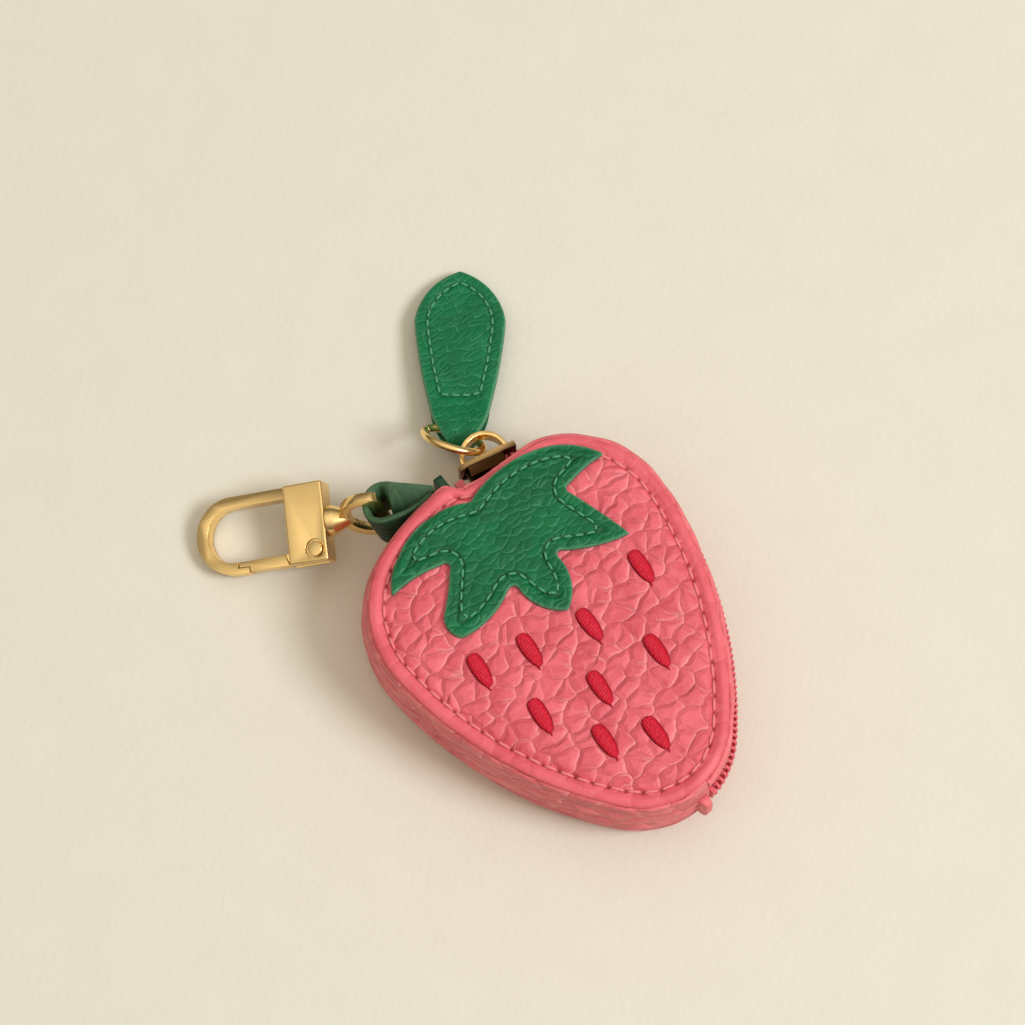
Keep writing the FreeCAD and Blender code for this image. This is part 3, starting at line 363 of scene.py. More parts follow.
def tubes(lines, radii, up, sides=8):
    # many closed tubes at once: a circle of the given radius carried along each line. lines (n, t, 3), radii (n, t), up (n, t, 3)
    count, steps = lines.shape[:2]
    along = np.gradient(lines, axis=1)
    along /= np.linalg.norm(along, axis=2, keepdims=True)
    side = np.cross(along, up)
    side /= np.linalg.norm(side, axis=2, keepdims=True)
    over = np.cross(side, along)
    turn = np.arange(sides) * math.tau / sides
    ring = side[:, :, None] * np.cos(turn)[None, None, :, None] + over[:, :, None] * np.sin(turn)[None, None, :, None]
    points = lines[:, :, None] + ring * radii[:, :, None, None]
    lengths = np.concatenate([np.zeros((count, 1)), np.cumsum(np.linalg.norm(np.diff(lines, axis=1), axis=2), 1)], 1)
    grid, unrolled = gridFaces(steps, sides, False, True)
    ends = np.arange(0, sides, 2)
    caps = []
    for row, first in ((0, True), (steps - 1, False)):
        a, b, c = row * sides + ends, row * sides + (ends + 1) % sides, row * sides + (ends + 2) % sides
        middle = np.full(len(ends), steps * sides + (0 if first else 1))
        caps.append(np.stack([a, b, c, middle] if first else [c, b, a, middle], 1))
    block = np.vstack([grid, *caps])
    each = steps * sides + 2
    faces = (block[None] + (np.arange(count) * each)[:, None, None]).reshape(-1, 4)
    flat = np.concatenate([points.reshape(count, -1, 3), lines[:, :1], lines[:, -1:]], 1).reshape(-1, 3)
    uv = np.zeros((count, len(block), 4, 2))
    uv[:, :len(grid), :, 0] = lengths[:, unrolled[..., 0]]
    uv[:, :len(grid), :, 1] = unrolled[..., 1][None] / sides
    return flat, faces, uv.reshape(-1, 4, 2)


def arcThrough(start, middle, end, count):
    # points on the circle through three points, from the first to the last
    (ax, ay), (bx, by), (cx, cy) = start, middle, end
    across = 2 * (ax * (by - cy) + bx * (cy - ay) + cx * (ay - by))
    sa, sb, sc = ax * ax + ay * ay, bx * bx + by * by, cx * cx + cy * cy
    x = (sa * (by - cy) + sb * (cy - ay) + sc * (ay - by)) / across
    y = (sa * (cx - bx) + sb * (ax - cx) + sc * (bx - ax)) / across
    first, last = math.atan2(ay - y, ax - x), math.atan2(cy - y, cx - x)
    sweep = (last - first) % math.tau
    if (math.atan2(by - y, bx - x) - first) % math.tau > sweep:
        sweep -= math.tau
    turn = first + sweep * np.linspace(0, 1, count)
    return np.stack([x + math.hypot(ax - x, ay - y) * np.cos(turn), y + math.hypot(ax - x, ay - y) * np.sin(turn)], 1)


def evenly(points, count, closed=True):
    # the same line with points at even spacing
    line = np.vstack([points, points[:1]]) if closed else points
    length = np.concatenate([[0], np.cumsum(np.linalg.norm(np.diff(line, axis=0), axis=1))])
    where = np.linspace(0, length[-1], count, endpoint=not closed)
    return np.stack([np.interp(where, length, line[:, k]) for k in range(line.shape[1])], 1), length[-1]


def nearest(points, line):
    # distance from each point to a line of close points
    parts = [np.sqrt(((block[:, None] - line[None]) ** 2).sum(2)).min(1) for block in np.array_split(points, max(1, len(points) // 1500))]
    return np.concatenate(parts)


def waves(x, y, length, seed=0.0):
    # a few crossed sine waves: gentle unevenness between -1 and 1
    k = math.tau / length
    return (np.sin(k * (x + 0.4 * y) + seed) + np.sin(k * (0.9 * y - 0.5 * x) * 1.13 + 2 * seed + 1) + np.sin(k * (0.3 * x + y) * 0.71 + 3 * seed)) / 3


pouch = dict(top=53.2, shoulder=21.2, flank=78.6, tip=16.8, shoulderX=10.7, shoulderY=14.9, tipY=-21.2, depth=22.0, stitchInset=2.9)


def outlineArcs(p):
    # tangent arcs anticlockwise from the tip: centre, radius, start and end angle in degrees
    topY = p["shoulderY"] - math.sqrt((p["top"] - p["shoulder"]) ** 2 - p["shoulderX"] ** 2)
    sx, sy, ty = p["shoulderX"], p["shoulderY"], p["tipY"]
    reach, near, far = math.hypot(sx, sy - ty), p["flank"] - p["shoulder"], p["flank"] - p["tip"]
    along = (reach ** 2 + near ** 2 - far ** 2) / (2 * reach)
    aside = math.sqrt(near ** 2 - along ** 2)
    ux, uy = -sx / reach, (ty - sy) / reach
    fx, fy = sx + ux * along + uy * aside, sy + uy * along - ux * aside
    tipTurn = math.degrees(math.atan2(ty - fy, -fx))
    shoulderTurn = math.degrees(math.atan2(sy - fy, sx - fx))
    topTurn = math.degrees(math.atan2(sy - topY, sx))
    return [((0, ty), p["tip"], -180 - tipTurn, tipTurn), ((fx, fy), p["flank"], tipTurn, shoulderTurn),
            ((sx, sy), p["shoulder"], shoulderTurn, topTurn), ((0, topY), p["top"], topTurn, 180 - topTurn),
            ((-sx, sy), p["shoulder"], 180 - topTurn, 180 - shoulderTurn), ((-fx, fy), p["flank"], 180 - shoulderTurn, 180 - tipTurn)]


arcs = outlineArcs(pouch)
arcCentres = np.array([arc[0] for arc in arcs])
arcRadii = np.array([arc[1] for arc in arcs])
arcStarts = np.radians([arc[2] for arc in arcs])
arcSweeps = np.radians([arc[3] - arc[2] for arc in arcs])


def outline(share, measured=0.0):
    # place and outward direction at a share 0 to 1 of the way round, counted along the outline shifted by measured
    lengths = (arcRadii + measured) * arcSweeps
    ends = np.cumsum(lengths)
    way = (np.asarray(share) % 1.0) * ends[-1]
    k = np.minimum(np.searchsorted(ends, way, side="right"), len(arcs) - 1)
    angle = arcStarts[k] + (way - (ends - lengths)[k]) / (arcRadii + measured)[k]
    out = np.stack([np.cos(angle), np.sin(angle)], -1)
    return arcCentres[k] + arcRadii[k][..., None] * out, out, ends[-1]


def shareAt(arc, degrees):
    lengths = arcRadii * arcSweeps
    return (lengths[:arc].sum() + arcRadii[arc] * (math.radians(degrees) - arcStarts[arc])) / lengths.sum()


rimLine = outline(np.arange(900) / 900)[0]

dip = dict(deep=2.9, start=65.0, full=85.0, end=90.6, sharp=0.55, low=11.5, high=17.0, reach=5.5)


def pulledIn(points, inset=0.0):
    # the front edge is drawn in above the slider: a slow slope up one side, a short one at the seam, fading downwards and inwards
    x, y, z = points[..., 0], points[..., 1], points[..., 2]
    topY = arcs[3][0][1]
    turn = np.degrees(np.arctan2(y - topY, x))
    slope = np.clip((turn - dip["start"]) / (dip["full"] - dip["start"]), 0, 1)
    deep = dip["deep"] * slope ** 2 * (3 - 2 * slope) / (1 + np.exp(np.clip((turn - dip["end"]) / dip["sharp"], -30, 30)))
    down = np.clip((z - dip["low"]) / (dip["high"] - dip["low"]), 0, 1)
    move = deep * down ** 2 * (3 - 2 * down) * np.exp(-(np.asarray(inset) / dip["reach"]) ** 2)
    away = np.stack([x, y - topY], -1) / np.hypot(x, y - topY)[..., None]
    return np.concatenate([points[..., :2] - away * move[..., None], z[..., None]], -1)


panel = dict(stitches=62, perStitch=8, crown=0.55, valley=0.5, roll=0.7, bead=0.16, thick=1.4, pinch=0.3)


def panelHeight(inset, along, x, y, crown):
    # how far the leather stands above the panel's plane: a crown inside the stitch line, a valley along it, a bead outside it
    d = np.maximum(inset - pouch["stitchInset"], 0)
    rise = crown * (1 - np.exp(-d / 3.2)) - panel["valley"] * np.exp(-((inset - pouch["stitchInset"]) / 0.85) ** 2)
    rise = rise + panel["bead"] * np.exp(-((inset - 1.35) / 0.6) ** 2) + 0.12 * crown * waves(x, y, 21) * (1 - np.exp(-d / 2))
    return rise


def faceHeight(x, y):
    # the front panel's height at any place, for what is sewn on it
    where = np.stack([np.ravel(x), np.ravel(y)], 1)
    inset = nearest(where, rimLine).reshape(np.shape(x))
    return pouch["depth"] + panelHeight(inset, 0, x, y, panel["crown"])


def makePanel(name, cad, front):
    count = panel["stitches"] * panel["perStitch"]
    share = np.arange(count) / count
    place, out, length = outline(share, -pouch["stitchInset"])
    roll = panel["roll"]
    bend = np.radians(np.linspace(-90, 90, 9))
    edgeInset = roll * (1 - np.cos(bend))
    edgeHeight = -roll + roll * np.sin(bend)
    topInset = np.array([0.9, 1.15, 1.4, 1.65, 1.95, 2.2, 2.4, 2.6, 2.75, 2.9, 3.05, 3.2, 3.4, 3.7, 4.1, 4.6, 5.2, 6.0, 7.0])
    crown = panel["crown"] if front else 0.0
    rings, pits, smooth = [], [], []
    stitch = share * panel["stitches"] % 1.0
    hole = np.exp(-(np.minimum(np.minimum(stitch, 1 - stitch), 1) / 0.13) ** 2)
    wander = 0.12 * np.sin(share * math.tau * 17) + 0.1 * np.sin(share * math.tau * 41 + 1)

    def ring(inset, height):
        spot = place - out * np.reshape(inset, (-1, 1))
        rings.append(np.column_stack([spot, np.full(count, pouch["depth"]) + height]))
        smooth.append(np.zeros(count))

    for inset in (9.0, 5.0, 2.5, 1.2):
        ring(inset, -panel["thick"])
        pits.append(np.zeros(count))
    for inset, height in zip(edgeInset, edgeHeight):
        ring(inset + (0.06 * wander if front else 0), height)
        smooth[-1] += 0.85
        pits.append(np.zeros(count))
    for inset in topInset:
        spot = place - out * inset
        height = panelHeight(inset, share, spot[:, 0], spot[:, 1], crown)
        near = np.exp(-((inset - pouch["stitchInset"]) / 0.34) ** 2)
        ring(inset, height - panel["pinch"] * hole * near)
        smooth[-1] += 0.85 * np.clip((2.9 - inset) / 0.9, 0, 1)
        # pits: the needle holes at each stitch end and a faint line along the stitch groove, painted dark later:
        # painted shade in those recesses
        pits.append(hole * near * 0.95 + 0.12 * np.exp(-((inset - 2.55) / 0.3) ** 2))
    centre = np.array([0.0, 0.0])
    inner = place - out * topInset[-1]
    for t in np.linspace(0, 0.97, 46)[1:]:
        spot = inner + (centre - inner) * t
        inset = nearest(spot, rimLine)
        ring(0, panelHeight(inset, share, spot[:, 0], spot[:, 1], crown))
        rings[-1][:, :2] = spot
        pits.append(np.zeros(count))
    points = np.array(rings)
    if front:
        insets = np.array([nearest(row[:, :2], rimLine) for row in points])
        points = pulledIn(points, insets)
    else:
        points[..., 2] = pouch["depth"] - points[..., 2]
        points[..., 2] = np.maximum(points[..., 2], 0.0)
    us = np.arange(len(rings), dtype=float)
    vs = np.linspace(0, length, count + 1)
    flat, faces, uvs = gridSurface(points, us, vs)
    marks = {"pits": np.concatenate([np.ravel(pits), [0, 0]]), "smooth": np.concatenate([np.ravel(smooth), [0, 0]])}
    return finished(name, flat, faces, uvs, "pouch", pinkLeather, cad, marks)


makePanel("frontLeather", "front_panel", True)
makePanel("backLeather", "back_panel", False)


def makePlate(name, cad, offset, low, high, material):
    # a thin plate inside the front: the outline drawn in, its edge following the pulled-in leather
    place, out, length = outline(np.arange(400) / 400)
    rows = []
    for share, height in ((0.02, low), (0.9, low), (1.0, low), (1.0, high), (0.9, high), (0.02, high)):
        rows.append(np.column_stack([(place + out * offset) * share, np.full(400, height)]))
    points = pulledIn(np.array(rows), np.array([[9.0], [4.0], [1.0], [1.0], [4.0], [9.0]]))
    flat, faces, uvs = gridSurface(points, np.arange(6.0), np.linspace(0, length, 401))
    return finished(name, flat, faces, uvs, "pouch", material, cad)


makePlate("frontStiffener", "front_stiffener", -1.1, 19.62, 20.55, stiffenerBoard)
makePlate("frontLining", "front_lining", -1.5, 19.22, 19.58, liningCloth)
print("panels made")


def makeBand(name, cad, start, end, profile, material, step=0.6, relief=None, taper=0.0, follows=True):
    # a closed profile of (outward, height) carried along the outline from one share to another, with the outward side wrinkled
    total = outline(0.0)[2]
    if end < start:
        end += 1.0
    count = max(6, int((end - start) * total / step))
    share = np.linspace(start, end, count)
    place, out, length = outline(share)
    way = (share - start) * total
    outward = np.tile(profile[:, 0], (count, 1))
    height = np.tile(profile[:, 1], (count, 1))
    if relief:
        outward = outward + relief(way[:, None], height)
    if taper:
        ends = np.minimum(way, way[-1] - way)
        shrink = np.sqrt(np.clip(1 - (1 - np.clip(ends / taper, 0, 1)) ** 2, 0.04, 1))[:, None]
        middle = profile[:, 1].mean()
        base = profile[:, 0].min()
        outward = base + (outward - base) * shrink
        height = middle + (height - middle) * (0.85 + 0.15 * shrink)
    points = np.concatenate([place[:, None] + out[:, None] * outward[..., None], height[..., None]], 2)
    around = np.concatenate([[0], np.cumsum(np.linalg.norm(np.diff(np.vstack([profile, profile[:1]]), axis=0), axis=1))])
    flat, faces, uvs = gridSurface(pulledIn(points) if follows else points, way, around)
    return finished(name, flat, faces, uvs, "pouch", material, cad)


def roundedProfile(inner, outer, low, high, radius, count=22):
    # outward and height round a strip: flat inside, rounded outer corners, even number of points
    turn = np.radians(np.linspace(0, 90, 6))
    lowCorner = np.stack([outer - radius + radius * np.sin(turn), low + radius - radius * np.cos(turn)], 1)
    highCorner = np.stack([outer - radius + radius * np.cos(turn), high - radius + radius * np.sin(turn)], 1)
    side = np.stack([np.full(count, outer), np.linspace(low + radius, high - radius, count + 2)[1:-1]], 1)
    inside = np.array([[inner, high], [inner, (low + high) / 2], [inner, low], [(inner + outer) / 2, low]])
    loop = np.vstack([lowCorner, side, highCorner, inside])
    return loop if len(loop) % 2 == 0 else loop[:-1]


gusset = dict(bulge=1.15, wrinkle=0.3, inner=-0.8, outer=0.35, low=1.15, high=20.85)


def gussetRelief(way, height):
    # a soft outward belly, and wrinkles that run along it and fade in and out
    g = gusset
    across = np.clip((height - g["low"]) / (g["high"] - g["low"]), 0, 1)
    belly = g["bulge"] * np.sin(np.pi * across) ** 0.8
    phase = height * 1.35 + 0.9 * np.sin(way / 8.3) + 0.5 * np.sin(way / 3.1 + 1.0)
    crease = np.sin(phase) * (0.55 + 0.45 * np.sin(way / 6.1 + height * 0.4))
    crease2 = np.sin(phase * 2.3 + way / 4.7) * (0.5 + 0.5 * np.sin(way / 4.3 + 2))
    fade = np.sin(np.pi * across) ** 0.5
    return np.where(height > 0, (belly + fade * (g["wrinkle"] * crease + 0.5 * g["wrinkle"] * crease2)), 0)


def makeGusset():
    g = gusset
    profile = roundedProfile(g["inner"], g["outer"], g["low"], g["high"], 0.3, 34)
    onOutside = (profile[:, 0] > g["inner"] + 0.2)

    def relief(way, height):
        return gussetRelief(way, height) * onOutside[None]

    makeBand("gussetLeather", ["gusset"], shareAt(3, 95.1), shareAt(0, -80.05), profile, pinkSideSheen, 0.5, relief)


def stripRelief(way, height):
    return 0.1 * np.sin(way / 2.9 + height * 0.7) + 0.07 * np.sin(way / 1.3 + height * 1.9)


makeGusset()
zipFrom, zipTo = shareAt(0, -80), shareAt(3, 89)
for name, cad, low, high in (("zipStripFront", "zip_strip_front", 15.6, 20.8), ("zipStripBack", "zip_strip_back", 1.2, 6.4)):
    makeBand(name, cad, zipFrom, zipTo, roundedProfile(-0.3, 0.95, low, high, 0.55), pinkPlain, 0.5, stripRelief)
for name, cad, low, high in (("zipTapeFront", "zip_tape_front", 12.1, 18.6), ("zipTapeBack", "zip_tape_back", 3.4, 9.9)):
    makeBand(name, cad, zipFrom, zipTo, roundedProfile(-0.9, -0.3, low, high, 0.25), tapeCloth, 0.9)
patch = roundedProfile(-0.8, 0.7, 1.2, 20.8, 0.4)
makeBand("zipHeadPatch", "zip_head_patch", shareAt(3, 88.9), shareAt(3, 91.3), patch, pinkPlain, 0.2, stripRelief)
makeBand("seamPatch", "seam_patch", shareAt(3, 91.28), shareAt(3, 95.3), patch, pinkPlain, 0.2, stripRelief)
makeBand("zipEndTab", "zip_end_tab", shareAt(0, -89), shareAt(0, -81.5), roundedProfile(0.62, 3.5, 6.9, 15.1, 1.2), pinkPlain, 0.15, stripRelief, taper=0.7)
nub = roundedProfile(-3.4, 1.7, 7.7, 18.2, 0.5)
makeBand("strapRoot", "strap_root", shareAt(3, 92.6), shareAt(3, 96.3), nub, shadedGreen, 0.15, None, 0.4, False)
nubEnd = roundedProfile(-3.4, 3.7, 9.2, 17.6, 0.6)
makeBand("strapEnd", "strap_end", shareAt(3, 90.2), shareAt(3, 92.3), nubEnd, shadedGreen, 0.12, None, 0.15, False)
print("side bands made")


coil = dict(pitch=1.2, thread=0.34, inner=-0.25, outer=2.35, low=8.85, high=11.3, steps=18)


def makeCoil(name, cad, front):
    # one monofilament wound as a flat spiral: it goes round in the plane across the zip while it moves along it
    start, end = shareAt(0, -75), shareAt(3, 80)
    total = outline(0.0)[2]
    turns = int((end - start) * total / coil["pitch"])
    t = np.linspace(0, turns, turns * coil["steps"] + 1)
    share = start + (end - start) * (t + (0.5 if front else 0.0)) / (turns + 0.5)
    place, out, length = outline(share)
    r = coil["thread"]
    midOut, halfOut = (coil["inner"] + coil["outer"]) / 2, (coil["outer"] - coil["inner"]) / 2 - r
    low, high = (22.0 - coil["high"], 22.0 - coil["low"]) if front else (coil["low"], coil["high"])
    midHigh, halfHigh = (low + high) / 2, (high - low) / 2 - r
    turn = t * math.tau
    # a squared-off loop: sine and cosine pushed towards their ends
    square = lambda v: np.sign(v) * np.abs(v) ** 0.75
    outward = midOut + halfOut * square(np.cos(turn))
    height = midHigh + halfHigh * square(np.sin(turn))
    line = np.column_stack([place + out * outward[:, None], height])[None]
    up = np.column_stack([out, np.zeros(len(t))])[None]
    along = np.column_stack([-out[:, 1], out[:, 0], np.zeros(len(t))])[None]
    flat, faces, uvs = tubes(line, np.full((1, len(t)), r), along, 8)
    return finished(name, flat, faces, uvs, "pouch", pinkNylon, cad)


makeCoil("zipCoilFront", "zip_teeth_front", True)
makeCoil("zipCoilBack", "zip_teeth_back", False)
print("zip coils made")


def makeStitches(name, cad, line, up, gap, radius, body, material, sag=0.0, bow=0.16, sides=8, steps=8):
    # capsules of thread: line holds the ends of all stitches in a closed row (n+1 rows), each stitch humped and tapered into its holes
    first, last = line[:-1], line[1:]
    t = np.linspace(0, 1, steps)
    way = last - first
    inset = gap / np.maximum(np.linalg.norm(way, axis=1, keepdims=True), 1e-6)
    a, b = first + way * inset, last - way * inset
    lines = a[:, None] + (b - a)[:, None] * t[None, :, None]
    ups = np.broadcast_to(up[:, None] if up.ndim == 2 else up, lines.shape).copy()
    hump = bow * np.sin(np.pi * t) ** 0.6 - 0.12 * (np.abs(2 * t - 1) ** 6)
    lines = lines + ups * (hump + sag)[None, :, None]
    radii = radius * (0.55 + 0.45 * np.sin(np.pi * np.clip(t, 0.03, 0.97)) ** 0.45)
    flat, faces, uvs = tubes(lines, np.broadcast_to(radii, lines.shape[:2]).copy(), ups, sides)
    return finished(name, flat, faces, uvs, body, material, cad)


def panelStitches(name, cad, front):
    share = np.arange(panel["stitches"] + 1) / panel["stitches"]
    place, out, length = outline(share, -pouch["stitchInset"])
    slant = 0.06 * np.sin(np.arange(len(share)) * 2.4)
    spot = place - out * (pouch["stitchInset"] + slant[:, None])
    spot[-1] = spot[0]
    if front:
        height = faceHeight(spot[:, 0], spot[:, 1])
        up = np.tile([0, 0, 1.0], (len(share) - 1, 1))
    else:
        height = np.full(len(spot), 0.42)
        up = np.tile([0, 0, -1.0], (len(share) - 1, 1))
    line = np.column_stack([spot, height])
    if front:
        line = pulledIn(line, pouch["stitchInset"])
    makeStitches(name, cad, line, up, 0.42, 0.3, "pouch", pinkThread, sag=0.12 if front else -0.08, bow=0.12 if front else 0.0)


panelStitches("frontStitches", "front_stitching", True)
panelStitches("backStitches", "back_stitching", False)
print("panel stitches made")


leaf = dict(
    start=(0.0, 32.1), centre=(0.0, 29.0), thick=1.2, inset=2.5, stitches=56, round=0.5,
    arcs=[((-9.9, 34.4), (-17.5, 31.8)), ((-20.9, 29.4), (-23.1, 26.1)), ((-17.0, 26.3), (-11.9, 25.3)), ((-10.9, 24.9), (-11.3, 23.6)),
          ((-14.2, 20.2), (-17.7, 16.9)), ((-18.6, 14.0), (-17.5, 11.4)), ((-10.3, 11.5), (-4.8, 13.7)), ((-3.5, 13.8), (-3.0, 12.6)),
          ((-2.0, 7.9), (1.9, 3.7)), ((5.8, 7.6), (6.8, 13.2)), ((7.3, 14.1), (8.4, 13.7)), ((13.6, 10.8), (20.6, 8.7)),
          ((18.6, 15.6), (16.4, 22.0)), ((16.4, 23.3), (17.5, 23.7)), ((21.8, 24.4), (26.6, 24.6)), ((21.9, 30.4), (17.5, 32.8)), ((8.8, 34.2), (0.0, 32.1))])


def leafOutline():
    points, start = [], leaf["start"]
    for middle, end in leaf["arcs"]:
        points.append(arcThrough(start, middle, end, 60)[:-1])
        start = end
    line = evenly(np.vstack(points), 1400)[0]
    # blunt the points and notches a little, as a cut edge is
    for _ in range(14):
        line = (np.roll(line, 1, 0) + line * 2 + np.roll(line, -1, 0)) / 4
    return evenly(line, 560)[0]


leafLine = leafOutline()


def sheetHeight(edge, inset, thick, round, dip=0.34, sink=0.3):
    # a cut sheet of leather: rounded edge, flat band, a thin valley under the stitches and a slightly sunk middle
    corner = np.clip(edge / round, 0, 1)
    rise = thick * (0.45 + 0.55 * np.sqrt(np.clip(1 - (1 - corner) ** 2, 0, 1)))
    valley = dip * np.exp(-((edge - inset) / 0.5) ** 2)
    middle = sink * (1 / (1 + np.exp(-(edge - inset - 0.6) / 0.25)))
    return rise - valley - middle


def makeLeaf():
    centre = np.array(leaf["centre"])
    rays = leafLine - centre
    share = 1 - np.concatenate([[0, 0.004, 0.01, 0.018, 0.028], np.linspace(0.04, 1, 66) ** 1.15 * 0.98])
    share = np.unique(np.clip(share, 0.02, 1))[::-1]
    rings, pits, edgeHighlightAndWear = [], [], []
    under = centre + rays * 0.55
    rings.append(np.column_stack([under, faceHeight(under[:, 0], under[:, 1]) - 0.25]))
    rings.append(np.column_stack([leafLine, faceHeight(leafLine[:, 0], leafLine[:, 1]) - 0.25]))
    pits += [np.zeros(len(leafLine)), np.zeros(len(leafLine))]
    edgeHighlightAndWear += pits[:]
    for s in share:
        spot = centre + rays * s
        edge = nearest(spot, leafLine)
        rise = sheetHeight(edge, leaf["inset"], leaf["thick"], leaf["round"])
        lift = 0.14 * waves(spot[:, 0], spot[:, 1], 7.5, 0.7) + 0.07 * waves(spot[:, 0], spot[:, 1], 3.1, 2.0)
        height = faceHeight(spot[:, 0], spot[:, 1]) + rise + lift * np.clip(edge / 1.5, 0, 1)
        rings.append(np.column_stack([spot, height]))
        # pits: a dark line just inside the stitch row, painted shade in the groove; the edge mark: the pale rounded
        # edge, partly the cut edge's own colour and partly a painted highlight
        pits.append(0.6 * np.exp(-((edge - leaf["inset"] - 0.15) / 0.3) ** 2))
        edgeHighlightAndWear.append(0.5 * np.exp(-(edge / 0.32) ** 2))
    points = np.array(rings)
    us = np.arange(len(rings), dtype=float)
    vs = np.linspace(0, 200, len(leafLine) + 1)
    flat, faces, uvs = gridSurface(points, us, vs)
    return finished("leafLeather", flat, faces, uvs, "pouch", greenLeather, "leaf",
                    {"pits": np.concatenate([np.ravel(pits), [0, 0]]), "edgeHighlightAndWear": np.concatenate([np.ravel(edgeHighlightAndWear), [0, 0]])})


def insetLine(line, centre, inset, count):
    # the line a fixed distance inside a star-shaped outline: the outermost place on each ray that is that far in
    centre = np.array(centre)
    share = np.linspace(0.99, 0.05, 120)
    spots = centre + (line - centre)[:, None] * share[None, :, None]
    edge = nearest(spots.reshape(-1, 2), line).reshape(len(line), -1)
    deep = edge >= inset
    first = np.where(deep.any(1), deep.argmax(1), edge.argmax(1))
    found = spots[np.arange(len(line)), first]
    for _ in range(6):
        found = (np.roll(found, 1, 0) + found * 2 + np.roll(found, -1, 0)) / 4
    return evenly(found, count)[0]


makeLeaf()
rowOfHoles = insetLine(leafLine[::2], leaf["centre"], leaf["inset"], leaf["stitches"])
rowOfHoles = np.vstack([rowOfHoles, rowOfHoles[:1]])
leafTop = faceHeight(rowOfHoles[:, 0], rowOfHoles[:, 1]) + leaf["thick"] - 0.3
makeStitches("leafStitches", "leaf_stitching", np.column_stack([rowOfHoles, leafTop]), np.tile([0, 0, 1.0], (leaf["stitches"], 1)),
             0.38, 0.27, "pouch", greenThread, sag=0.16, bow=0.12)
print("leaf made")


seed = dict(length=7.2, width=3.3, rise=0.9, ridge=0.02, strands=0.46,
            spots=[(18.5, 2.2, 3.0), (3.6, -1.0, 1.0), (-8.5, 1.9, 4.0), (-18.4, 4.4, 5.0), (10.7, -12.7, 2.0),
                   (-2.3, -11.9, 4.0), (-14.5, -9.5, 6.0), (-7.8, -20.7, 3.0), (0.8, -25.2, 0.0)])


def makeSeed(number, x, y, lean):
    # half-ellipse sections along a drop shape: round at the leaf end, drawn out to a point, with a short tail of thread
    s = seed
    t = np.linspace(0, 1, 96)
    along = s["length"] / 2 - s["length"] * (1 - np.cos(np.pi * t)) / 2
    drop = np.sin(np.pi * np.clip(t, 0, 1)) ** 0.55 * (1.16 - 0.36 * t)
    half = s["width"] / 2 * drop * (1 - 0.12 * np.exp(-((t - 0.82) / 0.1) ** 2))
    turn = np.radians(np.linspace(-20, 200, 26))
    across = half[:, None] * np.cos(turn)[None]
    bulk = np.clip(np.sin(turn), -0.4, 1)[None] ** 1
    ridges = s["ridge"] * np.sin(math.tau * (along[:, None] + 0.35 * across + 0.15 * np.sin(across * 3 + number)) / s["strands"])
    rise = (s["rise"] * drop[:, None] ** 0.6 + ridges * np.clip(bulk, 0, 1)) * np.where(bulk > 0, np.abs(bulk) ** 0.8, -0.35)
    away = math.radians(-lean)
    px = x + across * math.cos(away) - along[:, None] * math.sin(away)
    py = y + across * math.sin(away) + along[:, None] * math.cos(away)
    base = faceHeight(px, py)
    points = np.stack([px, py, base + rise - 0.02], 2)
    flat, faces, uvs = gridSurface(points, along, np.linspace(0, s["width"], len(turn) + 1))
    # rim: the seed's sides, where the surface turns away from above, and its two ends are painted darker: painted
    # shade; the tail and the cap points get a middling share of it
    rim = np.clip(1.35 - np.clip(bulk, 0, 1) * 1.7, 0, 1) * 0.9 * np.ones_like(rise)
    rim = np.maximum(rim, 0.7 * np.clip((0.05 - np.minimum(t, 1 - t)) / 0.05, 0, 1)[:, None])
    # the tail: a thin tube that curls to one side below the point
    k = np.linspace(0, 1, 10)
    tailX, tailY = -0.25 * np.sin(k * 2.6 + number * 0.3) - 0.5 * k, -s["length"] / 2 + 0.5 - 1.3 * k
    tx = x + tailX * math.cos(away) - tailY * math.sin(away)
    ty = y + tailX * math.sin(away) + tailY * math.cos(away)
    line = np.column_stack([tx, ty, faceHeight(tx, ty) + 0.16 * (1 - k)])[None]
    radii = (0.34 * (1 - 0.6 * k))[None]
    tail, tailFaces, tailUvs = tubes(line, radii, np.broadcast_to([0, 0, 1.0], line.shape).copy(), 8)
    faces = np.vstack([faces, tailFaces + len(flat)])
    marks = {"rim": np.concatenate([rim.ravel(), [0.5, 0.5], np.full(len(tail), 0.45)])}
    finished(f"seed{number}", np.vstack([flat, tail]), faces, np.concatenate([uvs, tailUvs]), "pouch", redSatin, f"seed_{number}", marks)


for number, (x, y, lean) in enumerate(seed["spots"], start=1):
    makeSeed(number, x, y, lean)
print("seeds made")


tabFrame = dict(origin=(9.8797, 49.2632, 5.926), x=(0.59317, 0.7958, -0.12187), y=(-0.80178, 0.59763, 0.0), z=(0.07283, 0.09771, 0.99255))
hookFrame = dict(origin=(-22.3, 49.0, 10.2), x=(-0.80302, 0.51158, -0.3057), y=(-0.50355, -0.85679, -0.11109), z=(-0.31875, 0.06473, 0.94563))
eyeFrame = dict(origin=(-22.3, 49.0, 10.2), x=(-0.80302, 0.51158, -0.3057), y=(-0.58629, -0.77016, 0.25124), z=(-0.1069, 0.38098, 0.91838))


def inFrame(points, f):
    # from a part's own axes to the shared frame
    points = np.asarray(points, float)
    return np.array(f["origin"]) + points[..., :1] * np.array(f["x"]) + points[..., 1:2] * np.array(f["y"]) + points[..., 2:3] * np.array(f["z"])


stem = dict(length=36.1, wide=9.25, round=10.0, shoulder=5.9, skin=1.2, core=0.25, fold=1.5, reach=0.9, taper=6.5, sewn=5.2, inset=2.5, stitches=30)


